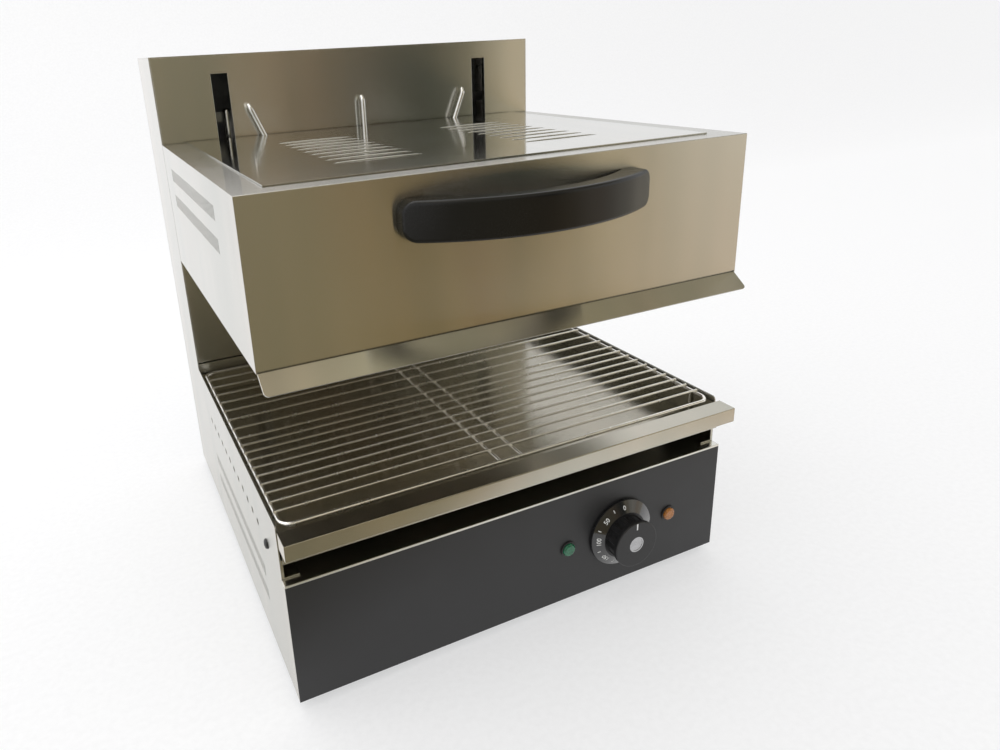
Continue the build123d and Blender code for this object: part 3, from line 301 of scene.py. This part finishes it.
def lens(name, colour, glow):
    """A tinted lamp lens with a faceted back, faintly lit."""
    mat, tree, shader = new_material(name)
    cells = add(tree, "ShaderNodeTexVoronoi", None, Vector=object_place(tree), Scale=LENS_FACETS)
    facets = cells.outputs["Distance"]
    base = mix_colour(tree, remap(tree, facets, 0.0, 0.7), colour, darker(colour, 0.5))
    tree.links.new(base, shader.inputs["Base Color"])
    tree.links.new(base, shader.inputs["Emission Color"])
    shader.inputs["Emission Strength"].default_value = glow
    shader.inputs["Roughness"].default_value = 0.18
    shader.inputs["Coat Weight"].default_value = 0.5
    bumped(tree, shader, facets, 0.3, 0.0003)
    return mat


STEEL = (0.62, 0.612, 0.585)
HANDLE_BLACK = (0.006, 0.0058, 0.0055)
materials = {
    "casing_steel": brushed("casing_steel", STEEL, 0.22, 1.0, shine=0.08),
    "hood_steel": brushed("hood_steel", STEEL, 0.22, 1.0, shine=0.055),
    "plate_steel": brushed("plate_steel", (0.68, 0.685, 0.67), 0.21, 0.8, grain=0.4, smudge=0.8),
    "pan_steel": brushed("pan_steel", (0.58, 0.56, 0.50), 0.22, 0.75, grain=0.7, shine=0.0),
    "galvanised": zinc("galvanised"),
    "panel_black": moulded("panel_black", (0.017, 0.017, 0.018), 0.42, grain=1800.0, relief=0.04, wear=0.1),
    "screw_steel": polished("screw_steel", (0.55, 0.55, 0.54), 0.28),
    "screw_black": moulded("screw_black", (0.02, 0.02, 0.02), 0.4),
    "chrome_rod": polished("chrome_rod", (0.74, 0.73, 0.71), 0.2),
    "grid_wire": polished("grid_wire", (0.97, 0.95, 0.90), 0.24),
    "handle_black": moulded("handle_black", HANDLE_BLACK, 0.24, 1500.0, 0.02, 0.05, WIDE_ROUND, 0.36),
    "knob_black": knob_plastic("knob_black"),
    "knob_insert": polished("knob_insert", (0.50, 0.50, 0.51), 0.24),
    "lens_green": lens("lens_green", (0.006, 0.15, 0.065), 0.12),
    "lens_amber": lens("lens_amber", (0.42, 0.15, 0.02), 0.14),
    "black_plastic": moulded("black_plastic", (0.02, 0.02, 0.02), 0.45),
    "foot_rubber": moulded("foot_rubber", (0.025, 0.025, 0.025), 0.7),
    "terminal_body": moulded("terminal_body", (0.7, 0.67, 0.58), 0.5),
    "wire_cover": moulded("wire_cover", (0.45, 0.08, 0.05), 0.5),
    "lead_cover": moulded("lead_cover", (0.03, 0.03, 0.03), 0.55),
    "element_sheath": moulded("element_sheath", (0.09, 0.08, 0.075), 0.5, grain=900.0, relief=0.2, wear=0.5),
    "mineral_wool": wool("mineral_wool"),
    "rope_steel": polished("rope_steel", (0.5, 0.5, 0.49), 0.35),
    "pulley_plastic": moulded("pulley_plastic", (0.62, 0.6, 0.54), 0.5),
    "bush_plastic": moulded("bush_plastic", (0.62, 0.54, 0.36), 0.5),
    "weight_iron": moulded("weight_iron", (0.06, 0.06, 0.06), 0.6, grain=700.0, relief=0.4),
    "bulb_copper": polished("bulb_copper", (0.7, 0.42, 0.28), 0.3),
}
rim_steel = polished("rim_steel", (0.82, 0.82, 0.80), 0.3)
dial_white = moulded("dial_white", (0.78, 0.78, 0.76), 0.45, wear=0.1)
hem_steel = brushed("hem_steel", (0.85, 0.84, 0.8), 0.34, 0.2, grain=0.5, edge=WIDE_ROUND)

slots = {row["node"]: row["material_slot"] for row in frame["record"]["subparts"]}
for node, obj in frame["nodes"].items():
    obj.data.materials.clear()
    obj.data.materials.append(hem_steel if node == "control_box_lid" else materials[slots[node]])
    for face in obj.data.polygons:
        face.material_index = 0

# ------------------------------------------------------------------ pieces

SAME_PLACE = 1e-6  # vertices this near each other are one
CORNERS = ((-1, -1), (1, -1), (1, 1), (-1, 1))  # of a square, in turn


def linked(name, data):
    """An object in the scene from a mesh, text, camera or light."""
    obj = bpy.data.objects.new(name, data)
    scene.collection.objects.link(obj)
    return obj


def object_of(name, bm):
    """An object in the scene from a bmesh, which is freed."""
    bmesh.ops.recalc_face_normals(bm, faces=bm.faces)
    mesh = bpy.data.meshes.new(name)
    bm.to_mesh(mesh)
    bm.free()
    return linked(name, mesh)


def mesh_piece(name, bm, body, slot, mat=None):
    """A piece from a bmesh, in the frame's own place, on a body, with the material of a record slot unless
    another is given.
    """
    obj = object_of(name, bm)
    obj.data.materials.append(mat or materials[slot])
    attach(obj, body)
    return obj


def join(bm, part):
    """Adds a bmesh to another one and frees it."""
    moved = bpy.data.meshes.new("moved")
    part.to_mesh(moved)
    part.free()
    bm.from_mesh(moved)
    bpy.data.meshes.remove(moved)


def skin(bm, rings):
    """Faces between rings of equally many vertices, and one over each end."""
    for one, following in zip(rings, rings[1:]):
        for k in range(len(one)):
            after = (k + 1) % len(one)
            bm.faces.new((one[k], one[after], following[after], following[k]))
    bm.faces.new(rings[0])
    bm.faces.new(rings[-1])


def final_mesh(obj):
    """The mesh of an object after its modifiers, or of a text."""
    return bpy.data.meshes.new_from_object(obj.evaluated_get(bpy.context.evaluated_depsgraph_get()))


def solid_boxes(node):
    """The lowest and highest corners of each separate solid of a node."""
    bm = bmesh.new()
    bm.from_mesh(frame["nodes"][node].data)
    bmesh.ops.remove_doubles(bm, verts=bm.verts, dist=SAME_PLACE)
    boxes, seen = [], set()
    for start in bm.verts:
        if start in seen:
            continue
        seen.add(start)
        island, front = [], [start]
        while front:
            vert = front.pop()
            island.append(vert.co.copy())
            fresh = [e.other_vert(vert) for e in vert.link_edges if e.other_vert(vert) not in seen]
            seen.update(fresh)
            front += fresh
        low = Vector([min(p[k] for p in island) for k in range(3)])
        high = Vector([max(p[k] for p in island) for k in range(3)])
        boxes.append((low, high))
    bm.free()
    return boxes


SCREW_SIDES = 32
# Outline of a screw's dome: shares of the head's radius and of its rise
SCREW_DOME = ((0.0, 1.0), (0.4, 0.98), (0.7, 0.86), (0.9, 0.6), (1.0, 0.25), (1.0, 0.0))
# The cross recess: shares of the head's radius
RECESS_REACH = 0.6
RECESS_HALF_WIDTH = 0.13
# It narrows to its bottom: height as a share of the head's rise, and the cross's share there
RECESS_LEVELS = ((0.25, 0.6), (1.2, 1.0))


def cross_screw(head, rise, shank, length):
    """The mesh of a pan-head screw with a cross recess: head up along +Z, seat at the origin."""
    profile = [(r * head, z * rise) for r, z in SCREW_DOME]
    profile += [(shank, 0.0), (shank, shank - length), (0.0, -length)]
    bm = bmesh.new()
    verts = [bm.verts.new((r, 0.0, z)) for r, z in profile]
    edges = [bm.edges.new(pair) for pair in zip(verts, verts[1:])]
    outline = verts + edges
    bmesh.ops.spin(bm, geom=outline, cent=(0, 0, 0), axis=(0, 0, 1), angle=math.tau, steps=SCREW_SIDES)
    bmesh.ops.remove_doubles(bm, verts=bm.verts, dist=SAME_PLACE)
    screw = object_of("screw", bm)
    wide, narrow = RECESS_REACH * head, RECESS_HALF_WIDTH * head
    quarter_cross = [(narrow, narrow), (wide, narrow), (wide, -narrow)]
    bm = bmesh.new()
    rings = []
    for level, share in RECESS_LEVELS:
        ring = []
        for quarter in range(4):
            turn = Matrix.Rotation(-quarter * math.pi / 2, 3, "Z")
            for x, y in quarter_cross:
                ring.append(bm.verts.new(turn @ Vector((x * share, y * share, level * rise))))
        rings.append(ring)
    skin(bm, rings)
    cutter = object_of("cutter", bm)
    cut = screw.modifiers.new("recess", "BOOLEAN")
    cut.operation = "DIFFERENCE"
    cut.object = cutter
    mesh = final_mesh(screw)
    for obj in (screw, cutter):
        bpy.data.objects.remove(obj)
    return mesh


def screws(node, body, outward, head, rise, shank):
    """Cross-recess screws in place of a node's plain ones, their heads on the outward side.

    head and shank are radii, and rise is how far the head stands up.
    """
    bm = bmesh.new()
    mesh = None
    for low, high in solid_boxes(node):
        middle = (low + high) / 2
        way = Vector(outward(middle))
        reach = abs((high - low).dot(way)) / 2
        if mesh is None:
            mesh = cross_screw(head, rise, shank, 2 * reach - rise)
        seat = middle + way * (reach - rise)
        turn = random.uniform(0.0, math.pi)
        aim = way.to_track_quat("Z", "Y").to_matrix().to_4x4()
        one = bmesh.new()
        one.from_mesh(mesh)
        one.transform(Matrix.Translation(seat) @ aim @ Matrix.Rotation(turn, 4, "Z"))
        join(bm, one)
    piece = mesh_piece(f"{node}_crossed", bm, body, slots[node])
    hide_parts(node)


screws("cover_screws", "body", lambda middle: (0, 1, 0), 0.0035, 0.002, 0.0016)
screws("runner_screws", "body", lambda middle: (math.copysign(1, middle.x), 0, 0), 0.0045, 0.0024, 0.0024)
screws("foot_screws", "body", lambda middle: (0, 0, -1), 0.0045, 0.003, 0.0024)

# Ropes and the slack lead, which run from the casing to the hood or the weight; they are drawn in place and
# attached to no body
RING_STEP = 0.002
SIDES_PER_STRAND = 8
ROPE_TWIST = math.tau / 0.012  # radians a metre, one turn of the lay in 12 mm
STRANDS = 3
STRAND_CUT = 0.12  # depth of the furrows between strands, as a share of the radius


def running_line(node, casing_end, strands, cut):
    """Upright round lines in place of a node's rods."""
    bm = bmesh.new()
    around = SIDES_PER_STRAND * strands
    for low, high in solid_boxes(node):
        middle = (low + high) / 2
        radius = (high.x - low.x) / 2
        count = round((high.z - low.z) / RING_STEP)
        rings = []
        for step in range(count + 1):
            z = low.z + (high.z - low.z) * step / count
            ring = []
            for k in range(around):
                angle = math.tau * k / around
                furrow = abs(math.sin(strands * (angle + ROPE_TWIST * z) / 2)) if cut else 1.0
                reach = radius * (1.0 - cut * (1.0 - furrow))
                x, y = middle.x + reach * math.cos(angle), middle.y + reach * math.sin(angle)
                ring.append(bm.verts.new((x, y, z)))
            rings.append(ring)
        skin(bm, rings)
    obj = object_of(f"{node}_running", bm)
    for face in obj.data.polygons:
        face.use_smooth = len(face.vertices) == 4
    obj.data.materials.append(materials[slots[node]])
    low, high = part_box(node)
    if casing_end == "top":
        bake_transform(obj)
    else:
        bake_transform(obj)
    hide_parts(node)


running_line("hood_ropes", "top", STRANDS, STRAND_CUT)
running_line("weight_ropes", "top", STRANDS, STRAND_CUT)
running_line("lead_slack", "bottom", 2, 0.0)

# Raised rims behind the slots of the hood's top plate, which catch the light
HOOD_DEPTH = 0.3595
SLOT_ROWS = 9
SLOT_PITCH = 0.0214
SLOT_LENGTH = 0.077
SLOT_CUT = 0.003
SLOT_SPACING = 0.177
SLOT_MIDDLE = 0.1705  # behind the hood's front
RIM_WIDTH = 0.0014
RIM_RISE = 0.0008
RIM_STEPS = 24  # along a rim
RIM_SIDES = 8  # over its half round
RIM_FULLNESS = 0.35  # power of the sine that a rim swells by, so a low one is full nearly to its ends
RIM_TIP = 0.02  # share of the full size that is left at its ends


def slot_rims():
    """A low half-round bead along the rear edge of each slot, tapered at its ends."""
    plate_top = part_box("hood_top_plate")[1][2]
    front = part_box("hood_shell")[1][1] - HOOD_DEPTH
    middle_y = front + SLOT_MIDDLE
    bm = bmesh.new()
    for x_middle in (-SLOT_SPACING / 2, SLOT_SPACING / 2):
        for row in range(SLOT_ROWS):
            y_edge = middle_y + (row - (SLOT_ROWS - 1) / 2) * SLOT_PITCH + SLOT_CUT / 2
            rings = []
            for step in range(RIM_STEPS + 1):
                share = step / RIM_STEPS
                swell = math.sin(math.pi * share) ** RIM_FULLNESS if 0 < share < 1 else RIM_TIP
                x = x_middle + (share - 0.5) * (SLOT_LENGTH - SLOT_CUT)
                ring = []
                for k in range(RIM_SIDES + 1):
                    angle = math.pi * k / RIM_SIDES
                    y = y_edge + RIM_WIDTH / 2 - math.cos(angle) * RIM_WIDTH / 2 * swell
                    z = plate_top + math.sin(angle) * RIM_RISE * swell
                    ring.append(bm.verts.new((x, y, z)))
                rings.append(ring)
            skin(bm, rings)
    piece = mesh_piece("plate_slot_rims", bm, "hood", "plate_steel", rim_steel)
    for face in piece.data.polygons:
        face.use_smooth = True


slot_rims()

# Dial on the knob's skirt: plain numbers and ticks that turn with the knob
SKIRT_RADII = (0.035, 0.0238)
SKIRT_HEIGHTS = (0.0035, 0.009)  # in front of the control panel, at those radii
DIAL_STEP = 45.0  # degrees
DIAL_VALUES = (0, 50, 100, 150, 200, 250, 300)
DIGIT_SIZE = 0.0062
DIGIT_SHIFT = -0.0006  # up the skirt from its middle
DIGIT_BOLDER = 0.00006
TICK_WIDTH = 0.0008
TICK_LENGTH = 0.0032
TICK_SHIFT = 0.001
PRINT_THICK = 0.00012
DIGIT_LIFT = 0.6  # heights above the skirt, as shares of the print's thickness
TICK_LIFTS = (-0.4, 1.6)


def skirt_point(centre, turn, across, out, lift):
    """A point on the skirt: angle from the top, distance along and up the cone, and above it."""
    run = SKIRT_RADII[0] - SKIRT_RADII[1]
    drop = SKIRT_HEIGHTS[1] - SKIRT_HEIGHTS[0]
    slope = math.atan2(drop, run)
    middle_radius = sum(SKIRT_RADII) / 2
    middle_height = sum(SKIRT_HEIGHTS) / 2
    radius = middle_radius + out * math.cos(slope) + lift * math.sin(slope)
    height = middle_height - out * math.sin(slope) + lift * math.cos(slope)
    angle = turn - across / middle_radius
    x, z = centre[0] - math.sin(angle) * radius, centre[2] + math.cos(angle) * radius
    return Vector((x, centre[1] - height, z))


def flat_text(words, size):
    """The mesh of some words, centred on the XY plane."""
    curve = bpy.data.curves.new("words", "FONT")
    curve.body = words
    curve.size = size
    curve.align_x = "CENTER"
    curve.align_y = "CENTER"
    curve.extrude = PRINT_THICK
    curve.offset = DIGIT_BOLDER
    obj = linked("words", curve)
    mesh = final_mesh(obj)
    bpy.data.objects.remove(obj)
    return mesh


def dial():
    """The numbers round the skirt, and a tick between each two."""
    low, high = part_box("control_knob")
    panel_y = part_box("control_panel")[0][1]
    centre = ((low[0] + high[0]) / 2, panel_y, (low[2] + high[2]) / 2)
    bm = bmesh.new()
    for number, value in enumerate(DIAL_VALUES):
        turn = math.radians(number * DIAL_STEP)
        words = bmesh.new()
        words.from_mesh(flat_text(str(value), DIGIT_SIZE))
        for vert in words.verts:
            x, y, z = vert.co
            vert.co = skirt_point(centre, turn, x, y + DIGIT_SHIFT, z + DIGIT_LIFT * PRINT_THICK)
        join(bm, words)
        if number == len(DIAL_VALUES) - 1:
            continue
        between = turn + math.radians(DIAL_STEP / 2)
        rings = []
        for lift in TICK_LIFTS:
            ring = []
            for across, out in CORNERS:
                place = (across * TICK_WIDTH / 2, out * TICK_LENGTH / 2 + TICK_SHIFT, lift * PRINT_THICK)
                ring.append(bm.verts.new(skirt_point(centre, between, *place)))
            rings.append(ring)
        skin(bm, rings)
    mesh_piece("dial_numbers", bm, "knob", "knob_insert", dial_white)


dial()

# White fill of the pointer groove in the knob's front
POINTER_WIDTH = 0.0018
POINTER_LENGTH = 0.007
POINTER_CUT = 0.0006
POINTER_MIDDLE = 0.0193  # above the knob's axis
POINTER_GAP = 0.00005
# From the groove's floor outwards: depth as a share of the cut, and how far the edge is drawn in
POINTER_LEVELS = ((1.0, 0.0), (0.3, 0.0), (0.15, 0.0002))


def pointer():
    low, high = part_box("control_knob")
    x_middle, z_middle = (low[0] + high[0]) / 2, (low[2] + high[2]) / 2 + POINTER_MIDDLE
    half_width = POINTER_WIDTH / 2 - POINTER_GAP
    half_length = POINTER_LENGTH / 2 - POINTER_GAP
    bm = bmesh.new()
    rings = []
    for depth, inset in POINTER_LEVELS:
        ring = []
        for sx, sz in CORNERS:
            x = x_middle + sx * (half_width - inset)
            z = z_middle + sz * (half_length - inset)
            ring.append(bm.verts.new((x, low[1] + depth * POINTER_CUT, z)))
        rings.append(ring)
    skin(bm, rings)
    mesh_piece("pointer_line", bm, "knob", "knob_insert", dial_white)


pointer()

# ------------------------------------------------------------------ camera

# Fitted to the casing's edges in the photo
CAMERA_ANGLES = (24.16, 19.68, 2.93)  # degrees: turned to the right, tilted down and rolled
CAMERA_PLACE = (-0.3148, -0.7162, 0.5224)
SENSOR_WIDTH = 36.0  # millimetres, as Blender's own
FOCAL_SHARE = 0.7585  # the focal length as a share of the picture's width
CAMERA_SHIFT = (0.0738, -0.0585)

yaw, pitch, roll = (math.radians(a) for a in CAMERA_ANGLES)
sight = (math.sin(yaw) * math.cos(pitch), math.cos(yaw) * math.cos(pitch), -math.sin(pitch))
forward = Vector(sight).normalized()
flat_right = Vector((math.cos(yaw), -math.sin(yaw), 0.0)).normalized()
flat_down = forward.cross(flat_right)
right = math.cos(roll) * flat_right + math.sin(roll) * flat_down
down = -math.sin(roll) * flat_right + math.cos(roll) * flat_down
camera = linked("camera", bpy.data.cameras.new("camera"))
aim = Matrix((right, -down, -forward)).transposed().to_4x4()
camera.matrix_world = Matrix.Translation(CAMERA_PLACE) @ aim
camera.data.lens = SENSOR_WIDTH * FOCAL_SHARE
camera.data.shift_x, camera.data.shift_y = CAMERA_SHIFT
camera.data.clip_start = 0.02
scene.camera = camera

# ------------------------------------------------------------------ floor and light

FLOOR_GLOW = 0.5
FLOOR_GREYS = ((0.45, 0.45, 0.455), (0.42, 0.42, 0.425))
BEND_STEPS = 20
HOOD_FRONT = -0.219  # y of the hood's front, from where near_brown's angles are seen
WALL_Y = -2.6
WALL_TOP = 2.2
ABOVE_X = (-1.5, 5.0)
ABOVE_BACK = 0.25
ABOVE_Z = 3.0
# The brown floor starts just outside the picture, past the lines of its lower and right edges
LOWER_LEFT = (-1.4, 0.31)
LOWER_RIGHT = (0.262, -0.55)
FAR_RIGHT = (3.5, 1.30)
CARD_LIFT = 0.0005
# Bands across the sheets: how far they shift the hue, and the glow's least and greatest strength
WARMER = (1.1, 0.97, 0.93)
COOLER = (0.9, 1.03, 1.0)
BAND_STRENGTH = (0.68, 1.3)


def reflected_sheet(name, corners, mat):
    """A flat stage sheet from its corners, which shows in reflections alone."""
    mesh = bpy.data.meshes.new(name)
    mesh.from_pydata(corners, [], [tuple(range(len(corners)))])
    mesh.materials.append(mat)
    obj = linked(name, mesh)
    obj.visible_camera = False
    obj.visible_diffuse = False
    obj.visible_shadow = False


def sweep_floor():
    """A pale floor that curves up into the wall behind."""
    front, bend_start, radius, wall_top, half = -2.5, 1.4, 0.9, 5.0, 6.0
    arc = [math.radians(90.0 / BEND_STEPS * k) for k in range(BEND_STEPS + 1)]
    profile = [(front, 0.0)]
    profile += [(bend_start + radius * math.sin(a), radius - radius * math.cos(a)) for a in arc]
    profile += [(bend_start + radius, wall_top)]
    mesh = bpy.data.meshes.new("floor")
    points = [(x, y, z) for y, z in profile for x in (-half, half)]
    faces = [(2 * i, 2 * i + 1, 2 * i + 3, 2 * i + 2) for i in range(len(profile) - 1)]
    mesh.from_pydata(points, [], faces)
    for face in mesh.polygons:
        face.use_smooth = True
    mat, tree, shader = new_material("floor_white")
    speck = noise(tree, object_place(tree), 160.0, 3.0)
    base = mix_colour(tree, remap(tree, speck, 0.35, 0.7), *FLOOR_GREYS)
    tree.links.new(base, shader.inputs["Base Color"])
    shader.inputs["Roughness"].default_value = 0.5
    shader.inputs["Specular IOR Level"].default_value = 0.3
    shader.inputs["Emission Color"].default_value = (1.0, 1.0, 1.0, 1.0)
    shader.inputs["Emission Strength"].default_value = FLOOR_GLOW
    bumped(tree, shader, speck, 0.1, 0.001)
    mesh.materials.append(mat)
    obj = linked("floor", mesh)


def room_glow(name, along_x, band_scale, stops):
    """A glow whose colour runs over stops: by x, or by angle round the hood's front."""
    mat = bpy.data.materials.new(name)
    mat.use_nodes = True
    tree = mat.node_tree
    tree.nodes.clear()
    x, y, _ = place_parts(tree)
    value = x if along_x else math_node(tree, "ARCTAN2", x, math_node(tree, "SUBTRACT", HOOD_FRONT, y))
    first, last = stops[0][0], stops[-1][0]
    ramp = add(tree, "ShaderNodeValToRGB", None, Fac=remap(tree, value, first, last))
    ramp.color_ramp.interpolation = "EASE"
    table = ramp.color_ramp.elements
    while len(table) < len(stops):
        table.new(1.0)
    for element, (place, colour) in zip(table, stops):
        element.position = (place - first) / (last - first)
        element.color = (*colour, 1.0)
    line = add(tree, "ShaderNodeCombineXYZ", None, X=value).outputs[0]
    band = noise(tree, line, band_scale, 3.0)
    hue = noise(tree, line, 0.7 * band_scale, 1.0)
    tinted = mix_colour(tree, hue, WARMER, COOLER)
    colour = mix_colour(tree, 1.0, ramp.outputs[0], tinted, "MULTIPLY")
    strength = remap(tree, band, *NOISE_BAND, *BAND_STRENGTH)
    glow = add(tree, "ShaderNodeEmission", None, Color=colour, Strength=strength)
    out = tree.nodes.new("ShaderNodeOutputMaterial")
    tree.links.new(glow.outputs[0], out.inputs[0])
    return mat


# The room that the steel mirrors. The tones were worked out from the photo's steel and then
# tuned. Places are radians in near_brown, from straight ahead of the hood to the right, and
# x in the others.
near_brown = room_glow(
    "near_brown",
    False,
    14.0,
    (
        (-0.6, (0.26, 0.23, 0.16)),
        (0.0, (0.30, 0.25, 0.15)),
        (0.3, (0.31, 0.24, 0.12)),
        (0.55, (0.42, 0.31, 0.17)),
        (0.7, (0.52, 0.41, 0.25)),
        (0.9, (0.73, 0.60, 0.47)),
        (1.4, (0.80, 0.74, 0.64)),
    ),
)
far_brown = room_glow(
    "far_brown",
    True,
    3.0,
    (
        (-1.4, (0.31, 0.29, 0.22)),
        (0.1, (0.31, 0.28, 0.19)),
        (0.7, (0.27, 0.20, 0.13)),
        (1.15, (0.10, 0.09, 0.065)),
        (1.3, (0.045, 0.05, 0.035)),
        (1.55, (0.06, 0.065, 0.045)),
        (1.9, (0.62, 0.55, 0.41)),
        (2.6, (0.82, 0.78, 0.70)),
    ),
)
above_brown = room_glow(
    "above_brown",
    True,
    2.0,
    (
        (-0.6, (0.62, 0.56, 0.44)),
        (0.6, (0.50, 0.45, 0.33)),
        (1.8, (0.34, 0.30, 0.20)),
        (3.0, (0.36, 0.32, 0.24)),
    ),
)

left_edge, middle_edge, right_edge = LOWER_LEFT[0], LOWER_RIGHT[0], FAR_RIGHT[0]
left_card = [LOWER_LEFT, (left_edge, WALL_Y), (middle_edge, WALL_Y), LOWER_RIGHT]
right_card = [LOWER_RIGHT, (middle_edge, WALL_Y), (right_edge, WALL_Y), FAR_RIGHT]
for name, corners in (("near_floor_left", left_card), ("near_floor_right", right_card)):
    reflected_sheet(name, [(x, y, CARD_LIFT) for x, y in corners], near_brown)
wall_corners = [(left_edge, 0.0), (right_edge, 0.0), (right_edge, WALL_TOP), (left_edge, WALL_TOP)]
reflected_sheet("far_wall", [(x, WALL_Y, z) for x, z in wall_corners], far_brown)
above_corners = [(x, WALL_Y, ABOVE_Z) for x in ABOVE_X]
above_corners += [(x, ABOVE_BACK, ABOVE_Z) for x in reversed(ABOVE_X)]
reflected_sheet("above", above_corners, above_brown)
sweep_floor()


def area_light(name, place, target, size, power):
    data = bpy.data.lights.new(name, "AREA")
    data.shape = "RECTANGLE"
    data.size, data.size_y = size
    data.energy = power
    obj = linked(name, data)
    obj.location = place
    obj.rotation_euler = (Vector(target) - Vector(place)).to_track_quat("-Z", "Y").to_euler()


TOP_POWER = 14.0  # watts
LEFT_POWER = 10.0
WORLD_STRENGTH = 0.85
area_light("light_top", (-0.6, 0.3, 2.4), (0.0, 0.1, 0.0), (2.0, 1.6), TOP_POWER)
area_light("light_left", (-2.3, 0.4, 1.5), (0.0, 0.0, 0.2), (1.6, 2.0), LEFT_POWER)

world = bpy.data.worlds.new("world")
scene.world = world
world.use_nodes = True
background = world.node_tree.nodes["Background"]
background.inputs["Color"].default_value = (1.0, 1.0, 1.0, 1.0)
background.inputs["Strength"].default_value = WORLD_STRENGTH

scene.view_settings.view_transform = "Standard"
